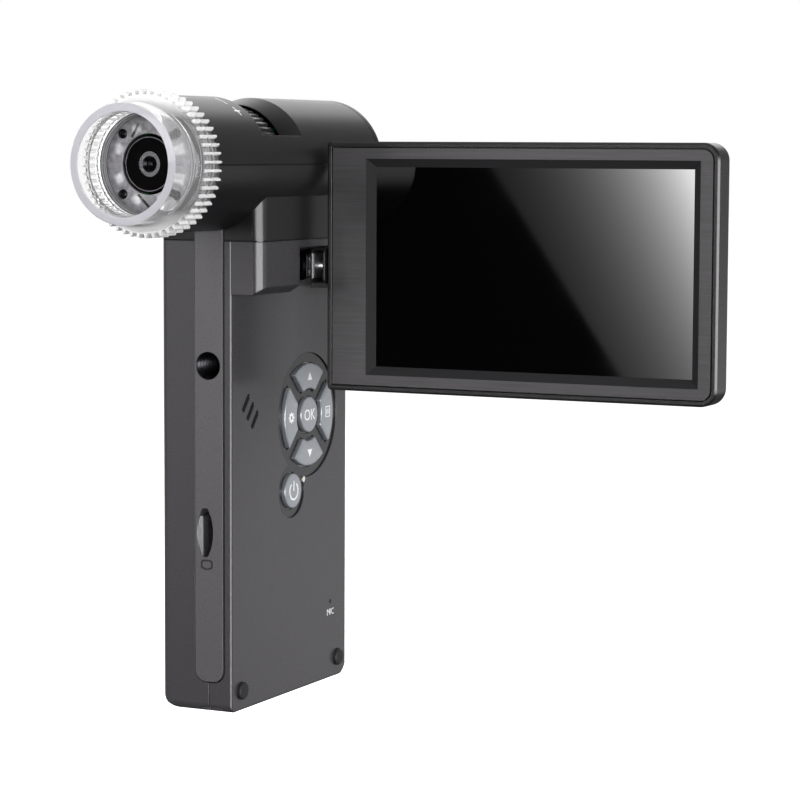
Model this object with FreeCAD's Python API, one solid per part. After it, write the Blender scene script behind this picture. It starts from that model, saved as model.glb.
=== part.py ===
import FreeCAD, Part
import math
import os

# A hand-held microscope with a fold-out screen: an upright grip, a barrel across its top
# that looks forward, and a screen on a two-way hinge at the grip's upper right.
# Millimetres. X runs to the user's right across the grip's thickness, Y runs from the
# specimen back along the barrel, Z is up. The origin is the mouth of the tripod socket.

V = FreeCAD.Vector
X_AXIS = V(1, 0, 0)
Y_AXIS = V(0, 1, 0)
Z_AXIS = V(0, 0, 1)

# grip
grip_left = 12.4            # parting plane to the left wide face
grip_right = 5.8            # parting plane to the right wide face
grip_depth = 56.8           # front face to rear face
grip_below = 79.0           # socket axis down to the grip's foot
grip_above = 28.0           # socket axis up to the seam under the barrel
wall = 1.6
spine_wall = 3.2            # thicker front wall that carries the socket
left_edge_radius = 1.6
right_edge_radius = 0.5
foot_edge_radius = 4.8      # along the lower left edge
heel_radius = 4.2           # lower rear corner
toe_radius = 1.8            # lower front corner
seam_width = 0.25
seam_depth = 0.35
pry_left = -1.7             # pry notch across the parting line at the foot
pry_width = 5.0
pry_height = 0.9
pry_lift = 0.35
pry_depth = 0.8
pry_corner = 0.44

# hinge housing that stands out of the right shell
boss_side = 13.6            # parting plane to the housing's outer face
boss_height = 11.9          # from the seam down to its flat underside
boss_corner_radius = 2.6
boss_chamfer_across = 2.6
boss_chamfer_up = 1.6
boss_soft = 0.6
recess_width = 20.8
recess_roof = 26.3

# front trim strip
strip_centre = 0.2
strip_width = 7.1
strip_below = 72.0          # socket axis down to its rounded end
strip_proud = 0.4
strip_seat = 1.2
strip_corner = 2.6
strip_gap = 0.3

# tripod socket
thread_wall_radius = 2.56   # 1/4-20 UNC after tapping
socket_mouth_radius = 3.15
socket_body_radius = 4.6
socket_depth = 8.5
socket_length = 9.4
collar_wall = 1.6
collar_depth = 7.5

# card slot in the strip
slot_height = 11.1
slot_width = 4.2
slot_centre_x = -0.8
slot_below = 37.9
card_width = 11.2
card_gap = 1.3
card_depth = 15.0
sheet = 0.3

# barrel
barrel_x = 0.6
barrel_z = 45.3
barrel_radius = 14.95
barrel_wall = 1.7
barrel_front = 22.5         # front face ahead of the grip's front face
barrel_overhang = 0.4       # rear face behind the grip's rear face
rear_cap_length = 2.5
rear_cap_edge = 0.8
rear_cap_lip = 3.0
rear_cap_lip_wall = 1.2
shell_gap = 0.3
neck_overlap = 0.3          # how far the saddle's sides run up into the barrel

# focus wheel and its window
wheel_clearance = 0.35      # from the ribs to the barrel's bore
wheel_length = 10.2
wheel_ribs = 52
wheel_rib_depth = 0.7
wheel_front = 0.0
window_half_angle = 65.0
window_clear = 0.4
window_slope = 7.4          # length of the sloped rear wall along the barrel

# lens and its guide
lens_radius = 6.2
lens_front = 26.6
lens_length = 20.6
lens_bore_radius = 2.0
lens_ring_radius = 2.75
lens_ring_bore = 1.8
lens_ring_depth = 1.4
slide_clearance = 0.05
guide_wall = 1.75
guide_front = 21.0
guide_back = 14.0
guide_flange = 1.2
lens_ring_sunk = 0.3
lens_ring_length = 0.6
lens_dome_radius = 3.6
lens_dome_rise = 0.35
lens_dome_clearance = 0.05
sensor_board_thickness = 1.0
sensor_half = 3.0
sensor_height = 1.2

# lamp unit at the front of the barrel
spigot_step = 3.1           # from the barrel's surface in to the spigot's
spigot_wall = 1.25
spigot_length = 5.5
lamp_floor = 2.5
lamp_step = 1.4
lamp_plug_length = 5.5
plate_thickness = 1.2
plate_hole_clearance = 0.4  # round the lens
lamp_count = 8
lamp_inset = 1.5            # from the plate's hole to the lamps' centres
lamp_size = 1.6
lamp_height = 1.0
lamp_board_thickness = 0.8
plate_screw_inset = 1.4     # from the plate's edge to the screws' centres
plate_screw_head = 1.05
plate_screw_head_height = 0.5
plate_screw_shank = 0.5
plate_slot_width = 0.65
plate_slot_inset = 1.4      # from the plate's hole to the slots' middles
upper_slot = (-25.2, 30.7, 3.4)     # place round the axis, lean and length
lower_slot = (-170.1, -45.0, 3.8)

# clear nose cap
cap_length = 15.1           # rim to the barrel's front face
cap_rim_step = 1.95         # from the barrel's surface in to the cap's
cap_rim_wall = 1.8
cap_rim_edge = 0.3
cap_ring_step = 0.05
cap_ring_sink = 0.3         # tooth rows stand this far out of the ring below them
cap_ring_length = 6.2
cap_shoulder_length = 1.6
cap_shoulder_run = 1.0
cap_seat_gap = 0.3
cap_teeth = 56
cap_tooth_height = 1.3
cap_tooth_gap = 0.8
cap_gap = 0.35

# two-way hinge
fold_x = 10.3
hinge_z = 21.9
pin_radius = 1.5
pin_head_radius = 2.2
pin_head = 0.8
knuckle_radius = 2.6
knuckle_width = 8.8
ear_thickness = 1.0
ear_gap = 0.4
ear_reach = 2.6
ear_half_height = 3.3
ear_corner = 1.2
bracket_base = 1.0
arm_half_height = 1.9
arm_width = 6.8
cover_start = 2.9           # from the fold axis out to the cover's inner end
cover_end_gap = 0.3
cover_half_height = 4.05
cover_corner = 1.2
cover_wall = 0.45
hinge_plate_thickness = 0.45
hinge_plate_half_height = 2.8
hinge_plate_setback = 0.3
washer_radius = 2.3
washer_thickness = 0.5
washer_start = 15.3
swivel_radius = 1.2
swivel_collar_radius = 2.0
swivel_collar = 1.0
swivel_end_play = 0.3

# screen
screen_left = 17.1
screen_thickness = 7.5
screen_outer_radius = 3.8
screen_inner_radius = 1.0
screen_back_edge = 1.5
rim_width = 1.2
rim_gap = 0.3
frame_ledge = 0.6           # step inside the rim that the front frame rests on
screen_floor = 1.4
rim_round = 0.45
frame_thickness = 1.6
lcd_width = 76.5
lcd_height = 45.5
bezel_hinge_side = 11.9
bezel_far_side = 6.2
bezel_above = 5.75          # and below
bevel_width = 1.9
glass_thickness = 0.7
glass_margin = 2.4
lcd_module_thickness = 2.0
bush_length = 3.0
bush_radius = 2.0
bush_wall = 1.0
shaft_clearance = 0.3
screen_board_inset = 6.75

# keypad
pad_from_back = 20.0
pad_z = -13.9
pad_radius = 14.7
power_ahead = 8.0           # power key ahead of the round pad's centre
power_below = 17.3
power_pad_radius = 6.3
pad_depth = 1.0
pad_sunk = 0.35
key_inner_radius = 6.2
key_outer_radius = 12.15
key_channel = 3.5
key_corner = 0.5
ok_radius = 4.2
power_radius = 4.1
key_gap = 0.3
key_proud = 0.5
key_flange = 0.6
key_flange_thickness = 0.6
key_play = 0.05
key_travel = 0.35
key_stem = 0.9
status_ahead = 1.7
status_below = 15.2
status_radius = 0.7
status_sunk = 0.1

# boards and what they carry
board_x = 0.6
board_thickness = 1.2
board_margin = 2.0
board_top = 18.0
board_bottom = 74.0
board_clearance = 0.3
board_card_margin = 2.0
switch_half = 1.5
switch_height = 1.2
battery_thickness = 5.6
battery_height = 58.0
battery_z = -40.0
battery_play = 0.6
battery_corner = 1.5
speaker_radius = 6.0
speaker_y = 10.2
speaker_z = -12.6
speaker_lift = 0.2
slit_length = 4.8
slit_width = 1.3
slit_angle = 50.0
slit_step = 2.05
slit_y = 8.9
slit_z = -10.8
mic_from_back = 8.2
mic_z = -60.3
mic_hole_radius = 0.45
mic_radius = 2.4
mic_height = 1.6
usb_z = -62.0
usb_x = -3.4
usb_width = 7.6
usb_height = 3.0
usb_length = 7.5
usb_corner = 0.6
usb_sunk = 0.5
usb_tongue = 0.7
usb_tongue_sunk = 1.5
usb_tongue_margin = 1.2

# bumpers and case screws
bumper_radius = 2.0
bumper_proud = 0.9
bumper_seat = 0.6
bumper_edge = 0.3
bumper_inset_y = 4.6
bumper_lift = 4.6
screw_head_radius = 1.9
screw_head = 1.4
screw_sunk = 0.6
screw_shank = 1.0
screw_tip_gap = 1.0
screw_well_radius = 2.1
post_radius = 3.2
screw_inset = 5.5
screw_lift = 11.0

# derived places
foot_z = -grip_below
barrel_back = grip_depth + barrel_overhang
screen_mid_y = grip_depth / 2
recess_low_y = (grip_depth - recess_width) / 2
recess_high_y = (grip_depth + recess_width) / 2
barrel_bore = barrel_radius - barrel_wall
wheel_radius = barrel_bore - wheel_clearance
guide_bore = lens_radius + slide_clearance
guide_radius = guide_bore + guide_wall
spigot_radius = barrel_radius - spigot_step
lamp_bore_radius = spigot_radius - spigot_wall
plate_hole_radius = lens_radius + plate_hole_clearance
lamp_circle = plate_hole_radius + lamp_inset
plate_slot_circle = plate_hole_radius + plate_slot_inset
plate_screw_circle = lamp_bore_radius - plate_screw_inset
cap_rim_radius = barrel_radius - cap_rim_step
cap_bore_radius = cap_rim_radius - cap_rim_wall
cap_ring_radius = barrel_radius - cap_ring_step
lcd_left = screen_left + bezel_hinge_side
screen_width = bezel_hinge_side + lcd_width + bezel_far_side
screen_height = lcd_height + 2 * bezel_above
pad_y = grip_depth - pad_from_back
power_y = pad_y - power_ahead
power_z = pad_z - power_below
status_y = pad_y - status_ahead
status_z = pad_z - status_below
mic_y = grip_depth - mic_from_back
board_face = board_x + board_thickness
wall_inside = grip_right - wall
pad_back = grip_right - pad_depth
EPS = 0.01
FAR = 200.0


def box(xs, ys, zs):
    """A block between two values on each axis."""
    return Part.makeBox(xs[1] - xs[0], ys[1] - ys[0], zs[1] - zs[0], V(xs[0], ys[0], zs[0]))


def rod(radius, start, axis, length):
    """A plain round bar."""
    return Part.makeCylinder(radius, length, start, axis)


def outline(corners, place):
    """A closed wire through corners (u, v, radius), with a tangent arc at each that has one."""
    count = len(corners)
    ends = []
    for i in range(count):
        u, v, radius = corners[i]
        here = V(u, v, 0)
        before = V(corners[i - 1][0], corners[i - 1][1], 0) - here
        after = V(corners[(i + 1) % count][0], corners[(i + 1) % count][1], 0) - here
        before.normalize()
        after.normalize()
        if radius < EPS:
            ends.append((here, None, here))
            continue
        half = before.getAngle(after) / 2
        run = radius / math.tan(half)
        inward = before + after
        inward.normalize()
        middle = here + inward * (radius / math.sin(half) - radius)
        ends.append((here + before * run, middle, here + after * run))
    edges = []
    for i in range(count):
        start, middle, stop = ends[i]
        following = ends[(i + 1) % count][0]
        if middle is not None:
            edges.append(Part.Arc(place(start), place(middle), place(stop)).toShape())
        if (following - stop).Length > EPS:
            edges.append(Part.LineSegment(place(stop), place(following)).toShape())
    return Part.Wire(edges)


def plate_x(corners, low, high):
    """A prism along X with corners given as (y, z, radius)."""
    wire = outline(corners, lambda p: V(low, p.x, p.y))
    return Part.Face(wire).extrude(X_AXIS * (high - low))


def plate_y(corners, low, high):
    """A prism along Y with corners given as (x, z, radius)."""
    wire = outline(corners, lambda p: V(p.x, low, p.y))
    return Part.Face(wire).extrude(Y_AXIS * (high - low))


def plate_z(corners, low, high):
    """A prism along Z with corners given as (x, y, radius)."""
    wire = outline(corners, lambda p: V(p.x, p.y, low))
    return Part.Face(wire).extrude(Z_AXIS * (high - low))


def rectangle(us, vs, radii):
    """Four corners, counted from the lowest of both round by the lower side."""
    return [(us[0], vs[0], radii[0]), (us[1], vs[0], radii[1]),
            (us[1], vs[1], radii[2]), (us[0], vs[1], radii[3])]


def turned(profile):
    """A solid of revolution about the barrel's axis from corners (y, radius)."""
    points = [V(barrel_x + r, y, barrel_z) for y, r in profile]
    wire = Part.makePolygon(points + points[:1])
    return Part.Face(wire).revolve(V(barrel_x, 0, barrel_z), Y_AXIS, 360)


def barrel_rod(radius, front, back):
    return rod(radius, V(barrel_x, front, barrel_z), Y_AXIS, back - front)


def barrel_point(circle, degrees, y):
    """A point at an angle from the top, clockwise as seen from the front's right."""
    a = math.radians(degrees)
    return V(barrel_x + circle * math.sin(a), y, barrel_z + circle * math.cos(a))


def side_rod(radius, y, z, low, high):
    """A bar across the grip, along X."""
    return rod(radius, V(low, y, z), X_AXIS, high - low)


def grip_block(inset, front_inset):
    """The grip's outer form, drawn in on every side for the hollow inside."""
    left, right = -grip_left + inset, grip_right - inset
    front, back = front_inset, grip_depth - inset
    foot, top = foot_z + inset, grip_above - inset
    soft = [max(r - inset, 0.0) for r in
            (left_edge_radius, right_edge_radius, foot_edge_radius, heel_radius, toe_radius)]
    plan = plate_z(rectangle((left, right), (front, back),
                             (soft[0], soft[1], soft[1], soft[0])), foot, top)
    face = plate_y(rectangle((left, right), (foot, top), (soft[2], soft[1], 0, 0)), front, back)
    side = plate_x(rectangle((front, back), (foot, top), (soft[4], soft[3], 0, 0)), left, right)
    return plan.common(face).common(side)


def seam_ring():
    """The fine groove along the grip's parting line."""
    half = seam_width / 2
    around = box((-half, half), (-EPS, grip_depth + EPS), (foot_z - EPS, grip_above + EPS))
    core = plate_x(rectangle((seam_depth, grip_depth - seam_depth),
                             (foot_z + seam_depth, grip_above + EPS),
                             (toe_radius, heel_radius, 0, 0)), -half, half)
    return around.cut(core)


def pry_notch():
    low = foot_z + pry_lift
    return plate_y(rectangle((pry_left, pry_left + pry_width), (low, low + pry_height),
                             (pry_corner,) * 4), -EPS, pry_depth)


def strip_body(grow, front, back):
    """The trim strip's outline, grown for its channel, between two depths."""
    half = strip_width / 2 + grow
    top = barrel_z - barrel_radius + 2
    corner = strip_corner + grow
    corners = rectangle((strip_centre - half, strip_centre + half),
                        (-strip_below - grow, top), (corner, corner, 0, 0))
    return plate_y(corners, front, back)


def slot_cut(front, back):
    """A lens-shaped thumb opening with the card's own slit through it."""
    half = slot_height / 2
    sag = slot_width / 2 - card_gap / 2
    near, far = slot_centre_x - card_gap / 2, slot_centre_x + card_gap / 2
    low, high = -slot_below - half, -slot_below + half
    corners = [V(near, front, low), V(near, front, high), V(far, front, high), V(far, front, low)]
    edges = [
        Part.Arc(corners[0], V(near - sag, front, -slot_below), corners[1]).toShape(),
        Part.LineSegment(corners[1], corners[2]).toShape(),
        Part.Arc(corners[2], V(far + sag, front, -slot_below), corners[3]).toShape(),
        Part.LineSegment(corners[3], corners[0]).toShape(),
    ]
    return Part.Face(Part.Wire(edges)).extrude(Y_AXIS * (back - front))


def socket_solid():
    neck = rod(socket_mouth_radius - EPS, V(0, 0, 0), Y_AXIS, strip_seat)
    body = rod(socket_body_radius, V(0, strip_seat, 0), Y_AXIS, socket_length - strip_seat)
    return neck.fuse(body)


def tripod_insert():
    return socket_solid().cut(rod(thread_wall_radius, V(0, 0, 0), Y_AXIS, socket_depth))


def front_strip():
    strip = strip_body(0, -strip_proud, strip_seat)
    strip = strip.cut(barrel_rod(barrel_radius + EPS, -barrel_front, barrel_back))
    strip = strip.cut(rod(socket_mouth_radius, V(0, -strip_proud, 0), Y_AXIS,
                          strip_proud + strip_seat))
    return strip.cut(slot_cut(-strip_proud - EPS, strip_seat + EPS))


def slit_cut():
    """Three slanted sound slits through the right wide face."""
    turn = math.radians(slit_angle)
    cut = None
    for i in (-1, 0, 1):
        y, z = slit_y + i * slit_step, slit_z - i * slit_step
        half, r = slit_length / 2 - slit_width / 2, slit_width / 2
        bar = box((wall_inside - EPS, grip_right + EPS), (-half, half), (-r, r))
        for end in (-half, half):
            bar = bar.fuse(side_rod(r, end, 0, wall_inside - EPS, grip_right + EPS))
        bar.rotate(V(0, 0, 0), X_AXIS, math.degrees(turn))
        bar.translate(V(0, y, z))
        cut = bar if cut is None else cut.fuse(bar)
    return cut


def pad_form(grow, low, high):
    """The keypad's figure-of-eight outline."""
    ring = side_rod(pad_radius + grow, pad_y, pad_z, low, high)
    return ring.fuse(side_rod(power_pad_radius + grow, power_y, power_z, low, high))


def key_form(name, grow, low, high):
    """A key's outline, grown for its hole or its flange."""
    if name == "ok":
        return side_rod(ok_radius + grow, pad_y, pad_z, low, high)
    if name == "power":
        return side_rod(power_radius + grow, power_y, power_z, low, high)
    towards = {"up": 0.0, "right": -90.0, "down": 180.0, "left": 90.0}[name]
    half = (key_channel / 2 - grow) * math.sqrt(2)
    ring = side_rod(key_outer_radius + grow, 0, 0, low, high)
    ring = ring.cut(side_rod(key_inner_radius - grow, 0, 0, low, high))
    wedge = plate_x([(0, half, 0), (FAR, FAR + half, 0), (-FAR, FAR + half, 0)], low, high)
    form = ring.common(wedge)
    if grow == 0:
        corners = [e for e in form.Edges if abs(e.BoundBox.XLength - (high - low)) < EPS
                   and e.BoundBox.YLength < EPS and e.BoundBox.ZLength < EPS]
        form = form.makeFillet(key_corner, corners)
    form.rotate(V(0, 0, 0), X_AXIS, towards)
    form.translate(V(0, pad_y, pad_z))
    return form


KEYS = ("ok", "up", "down", "left", "right", "power")


def key_centre(name):
    if name == "ok":
        return pad_y, pad_z
    if name == "power":
        return power_y, power_z
    middle = (key_inner_radius + key_outer_radius) / 2
    across, up = {"up": (0, 1), "down": (0, -1), "left": (-1, 0), "right": (1, 0)}[name]
    return pad_y + across * middle, pad_z + up * middle


def key(name):
    """A cap with a lip that stops behind the keypad's frame, and a stem to its switch."""
    lip_top = pad_back - key_play
    lip_low = lip_top - key_flange_thickness
    cap = key_form(name, 0, lip_low, grip_right + key_proud)
    lip = key_form(name, key_flange, lip_low, lip_top)
    y, z = key_centre(name)
    stem = box((board_face + switch_height + key_travel + key_play, lip_low + EPS),
               (y - key_stem, y + key_stem), (z - key_stem, z + key_stem))
    return cap.fuse(lip).fuse(stem)


def key_holes():
    holes = None
    for name in KEYS:
        hole = key_form(name, key_gap, pad_back - EPS, grip_right + EPS)
        holes = hole if holes is None else holes.fuse(hole)
    return holes


def key_room():
    """The two round openings behind the keypad's frame, which leave it a ledge."""
    reach = key_flange + key_gap
    ring = side_rod(key_outer_radius + reach, pad_y, pad_z, wall_inside - EPS, pad_back + EPS)
    return ring.fuse(side_rod(power_radius + reach, power_y, power_z,
                              wall_inside - EPS, pad_back + EPS))


def key_switches():
    domes = []
    for name in KEYS:
        y, z = key_centre(name)
        domes.append(box((board_face, board_face + switch_height),
                         (y - switch_half, y + switch_half), (z - switch_half, z + switch_half)))
    return Part.makeCompound(domes)


def keypad_frame():
    pad = pad_form(0, pad_back, grip_right - pad_sunk)
    pad = pad.cut(key_holes())
    return pad.cut(side_rod(status_radius, status_y, status_z, 0, grip_right))


def status_light():
    return side_rod(status_radius, status_y, status_z, board_face, grip_right - status_sunk)


def bumper_places():
    return [(bumper_inset_y, foot_z + bumper_lift),
            (grip_depth - bumper_inset_y, foot_z + bumper_lift)]


def bumper_feet():
    feet = [side_rod(bumper_radius, y, z, grip_right - bumper_seat, grip_right + bumper_proud)
            for y, z in bumper_places()]
    bevelled = []
    for foot in feet:
        rim = [e for e in foot.Edges if abs(e.BoundBox.XMax - grip_right - bumper_proud) < EPS
               and e.BoundBox.XLength < EPS]
        bevelled.append(foot.makeChamfer(bumper_edge, rim))
    return Part.makeCompound(bevelled)


def usb_form(grow, length):
    half_w, half_h = usb_width / 2 + grow, usb_height / 2 + grow
    corners = rectangle((usb_x - half_h, usb_x + half_h), (usb_z - half_w, usb_z + half_w),
                        (usb_corner,) * 4)
    return plate_y(corners, grip_depth - length, grip_depth + EPS)


def usb_socket():
    shell = usb_form(-EPS, usb_length)
    shell = shell.common(box((-FAR, FAR), (-FAR, grip_depth - usb_sunk), (-FAR, FAR)))
    hollow = usb_form(-sheet, usb_length - sheet)
    half = usb_width / 2 - usb_tongue_margin
    tongue = box((usb_x - usb_tongue / 2, usb_x + usb_tongue / 2),
                 (grip_depth - usb_length, grip_depth - usb_tongue_sunk),
                 (usb_z - half, usb_z + half))
    return shell.cut(hollow).fuse(tongue)


def case_screw_places():
    return [(screw_inset, foot_z + screw_lift),
            (grip_depth - screw_inset, foot_z + screw_lift),
            (screw_inset, grip_above - screw_inset),
            (grip_depth - screw_inset, grip_above - screw_inset)]


def case_screw_wells():
    cut = None
    for y, z in case_screw_places():
        head = side_rod(screw_well_radius, y, z, -grip_left - EPS,
                        -grip_left + screw_head + screw_sunk)
        shank = side_rod(screw_shank, y, z, -grip_left, wall_inside)
        well = head.fuse(shank)
        cut = well if cut is None else cut.fuse(well)
    return cut


def case_posts(low, high):
    posts = None
    for y, z in case_screw_places():
        post = side_rod(post_radius, y, z, low, high)
        posts = post if posts is None else posts.fuse(post)
    return posts


def case_screws():
    screws = []
    seat = -grip_left + screw_head + screw_sunk
    for y, z in case_screw_places():
        head = side_rod(screw_head_radius, y, z, seat - screw_head, seat)
        shank = side_rod(screw_shank, y, z, seat, wall_inside - screw_tip_gap)
        screws.append(head.fuse(shank))
    return Part.makeCompound(screws)


def grip_hollow():
    return grip_block(wall, spine_wall)


def grip_half(side):
    """One moulded half of the grip, -1 for the left and 1 for the right."""
    low, high = (-grip_left, 0) if side < 0 else (0, grip_right)
    cell = box((low, high), (0, grip_depth), (foot_z, grip_above))
    outer = grip_block(0, 0)
    inside = grip_hollow().common(cell)
    shell = outer.common(cell).cut(inside)
    posts = case_posts(low, high).common(inside)
    collar = rod(socket_body_radius + collar_wall, V(0, strip_seat, 0), Y_AXIS,
                 collar_depth).common(inside)
    shell = shell.fuse(posts).fuse(collar)
    shell = shell.cut(socket_solid())
    shell = shell.cut(strip_body(strip_gap, -EPS, strip_seat))
    shell = shell.cut(slot_cut(0, spine_wall + EPS))
    shell = shell.cut(case_screw_wells())
    return shell.cut(seam_ring()).cut(pry_notch())


def left_shell():
    shell = grip_half(-1)
    return shell.cut(usb_form(0, usb_length))


def boss():
    """The hinge housing, rounded at its upright corners and bevelled below."""
    low = grip_above - boss_height
    plan = plate_z(rectangle((0, boss_side), (0, grip_depth),
                             (0, boss_corner_radius, boss_corner_radius, 0)), low, grip_above)
    face = plate_y([(0, low, 0), (boss_side - boss_chamfer_across, low, boss_soft),
                    (boss_side, low + boss_chamfer_up, boss_soft), (boss_side, grip_above, 0),
                    (0, grip_above, 0)], 0, grip_depth)
    block = plan.common(face)
    block = block.cut(box((0, grip_right), (0, grip_depth), (low, grip_above)))
    recess = box((grip_right, boss_side + 1), (recess_low_y, recess_high_y),
                 (low - 1, recess_roof))
    return block.cut(recess)


def right_shell():
    shell = grip_half(1).fuse(boss())
    shell = shell.cut(pad_form(EPS, pad_back, grip_right + EPS))
    shell = shell.cut(key_room())
    shell = shell.cut(side_rod(status_radius, status_y, status_z, wall_inside - EPS,
                               grip_right + 1))
    shell = shell.cut(slit_cut())
    shell = shell.cut(side_rod(mic_hole_radius, mic_y, mic_z, wall_inside - EPS, grip_right + 1))
    for y, z in bumper_places():
        shell = shell.cut(side_rod(bumper_radius, y, z, grip_right - bumper_seat, grip_right + 1))
    return shell.removeSplitter()


def neck_block():
    """The saddle between the grip's top and the barrel."""
    corners = rectangle((-grip_left, boss_side), (0, grip_depth),
                        (left_edge_radius, boss_corner_radius, boss_corner_radius,
                         left_edge_radius))
    reach = (boss_side + grip_left) / 2
    top = barrel_z - math.sqrt(barrel_radius ** 2 - reach ** 2) + neck_overlap
    return plate_z(corners, grip_above, top)


def barrel_base():
    """The barrel's lower half with the saddle that joins it to the grip."""
    solid = barrel_rod(barrel_radius, -barrel_front, barrel_back - rear_cap_length - shell_gap)
    solid = solid.fuse(neck_block())
    solid = solid.common(box((-FAR, FAR), (-FAR, FAR), (-FAR, barrel_z)))
    solid = solid.cut(barrel_rod(barrel_bore, -barrel_front - 1, barrel_back + 1))
    solid = solid.cut(barrel_rod(barrel_radius + shell_gap,
                                 barrel_back - rear_cap_length - shell_gap, barrel_back + 1))
    solid = solid.cut(strip_body(strip_gap, -EPS, strip_seat))
    return solid.cut(neck_groove()).cut(barrel_groove()).removeSplitter()


def neck_groove():
    """The shadow line where the saddle meets the grip."""
    low, high = grip_above - EPS, grip_above + seam_width
    around = box((-FAR, FAR), (-FAR, FAR), (low, high))
    core = box((-grip_left + seam_depth, boss_side - seam_depth),
               (seam_depth, grip_depth - seam_depth), (low, high))
    return around.cut(core)


def barrel_groove():
    """The shadow line along both sides where the barrel's halves meet."""
    depth = barrel_radius - seam_depth
    lines = box((-FAR, FAR), (-FAR, FAR), (barrel_z - seam_width, barrel_z + EPS))
    return lines.cut(barrel_rod(depth, -FAR, FAR))


def window_cut():
    """The finger window: a straight front wall and a long sloped rear wall."""
    front = wheel_front - window_clear
    back = wheel_front + wheel_length + window_clear
    rise = barrel_radius - barrel_bore
    top = barrel_radius + 1
    grade = rise / window_slope
    profile = [(front, barrel_bore - 1), (front, top),
               (back + window_slope + 1 / grade, top), (back, barrel_bore),
               (back, barrel_bore - 1)]
    ring = turned(profile)
    reach = FAR * math.tan(math.radians(90 - window_half_angle))
    wedge = plate_y([(barrel_x, barrel_z, 0), (barrel_x + FAR, barrel_z + reach, 0),
                     (barrel_x + FAR, barrel_z + FAR, 0), (barrel_x - FAR, barrel_z + FAR, 0),
                     (barrel_x - FAR, barrel_z + reach, 0)], -FAR, FAR)
    return ring.common(wedge)


def barrel_top():
    solid = barrel_rod(barrel_radius, -barrel_front, barrel_back - rear_cap_length - shell_gap)
    solid = solid.common(box((-FAR, FAR), (-FAR, FAR), (barrel_z, FAR)))
    solid = solid.cut(barrel_rod(barrel_bore, -barrel_front - 1, barrel_back + 1))
    return solid.cut(window_cut())


def rear_cap():
    front = barrel_back - rear_cap_length
    cap = barrel_rod(barrel_radius, front, barrel_back)
    rim = [e for e in cap.Edges if abs(e.BoundBox.YMin - barrel_back) < EPS]
    cap = cap.makeChamfer(rear_cap_edge, rim)
    lip = barrel_rod(barrel_bore, front - rear_cap_lip, front)
    lip = lip.cut(barrel_rod(barrel_bore - rear_cap_lip_wall, front - rear_cap_lip, front))
    return cap.fuse(lip)


def focus_wheel():
    """A ring with ribs along its rim that a fingertip turns."""
    front, back = wheel_front, wheel_front + wheel_length
    root = wheel_radius - wheel_rib_depth
    pitch = 2 * math.pi / wheel_ribs
    points = []
    for i in range(wheel_ribs):
        for share, radius in ((0.0, root), (0.22, root), (0.36, wheel_radius),
                              (0.86, wheel_radius)):
            a = (i + share) * pitch
            points.append(V(barrel_x + radius * math.sin(a), front,
                            barrel_z + radius * math.cos(a)))
    ring = Part.Face(Part.makePolygon(points + points[:1])).extrude(Y_AXIS * (back - front))
    return ring.cut(barrel_rod(guide_radius + slide_clearance, front - 1, back + 1))


def lens_guide():
    """The fixed tube that the lens slides in and the wheel turns on."""
    flange = wheel_front - window_clear - guide_flange
    return turned([(-guide_front, guide_bore), (-guide_front, guide_radius),
                   (flange, guide_radius), (flange, barrel_bore),
                   (flange + guide_flange, barrel_bore), (flange + guide_flange, guide_radius),
                   (guide_back, guide_radius), (guide_back, guide_bore)])


def lens_barrel():
    front = -lens_front
    back = front + lens_length
    return turned([(front, lens_ring_radius), (front, lens_radius), (back, lens_radius),
                   (back, lens_bore_radius), (front + lens_ring_depth, lens_bore_radius),
                   (front + lens_ring_depth, lens_ring_radius)])


def lens_ring():
    front = -lens_front + lens_ring_sunk
    return barrel_rod(lens_ring_radius, front, front + lens_ring_length).cut(
        barrel_rod(lens_ring_bore, front, front + lens_ring_length))


def lens_glass():
    front = -lens_front + lens_ring_sunk + lens_ring_length
    glass = barrel_rod(lens_ring_radius, front, -lens_front + lens_ring_depth)
    top = front - lens_dome_rise
    dome = Part.makeSphere(lens_dome_radius, V(barrel_x, top + lens_dome_radius, barrel_z))
    dome = dome.common(barrel_rod(lens_ring_bore - lens_dome_clearance, top, front))
    return glass.fuse(dome)


def sensor_board():
    half = guide_radius
    plate = box((barrel_x - half, barrel_x + half),
                (guide_back, guide_back + sensor_board_thickness),
                (barrel_z - half, barrel_z + half))
    chip = box((barrel_x - sensor_half, barrel_x + sensor_half),
               (guide_back - sensor_height, guide_back),
               (barrel_z - sensor_half, barrel_z + sensor_half))
    return plate.fuse(chip)


def lamp_housing():
    """The cup behind the nose: a spigot for the cap and a plug in the barrel."""
    front = -barrel_front - spigot_length
    shoulder = -barrel_front
    back = shoulder + lamp_plug_length
    return turned([(front, lamp_bore_radius), (front, spigot_radius), (shoulder, spigot_radius),
                   (shoulder, barrel_bore), (back, barrel_bore), (back, guide_radius),
                   (back - lamp_floor, guide_radius), (back - lamp_floor, lamp_bore_radius)])


def plate_front():
    return -barrel_front - spigot_length + lamp_step


def plate_screw_holes(radius, low, high):
    return [rod(radius, barrel_point(plate_screw_circle, 45 + 90 * i, low), Y_AXIS, high - low)
            for i in range(4)]


def lamp_plate():
    """The frosted ring in front of the lamps, with its slanted slots."""
    front = plate_front()
    back = front + plate_thickness
    plate = barrel_rod(lamp_bore_radius, front, back)
    plate = plate.cut(barrel_rod(plate_hole_radius, front, back))
    for hole in plate_screw_holes(plate_screw_shank, front, back):
        plate = plate.cut(hole)
    for degrees, lean, length in (upper_slot, lower_slot):
        slot = box((-plate_slot_width / 2, plate_slot_width / 2), (front - EPS, back + EPS),
                   (-length / 2, length / 2))
        slot.rotate(V(0, 0, 0), Y_AXIS, lean)
        slot.translate(barrel_point(plate_slot_circle, degrees, 0))
        plate = plate.cut(slot)
    return plate


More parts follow.
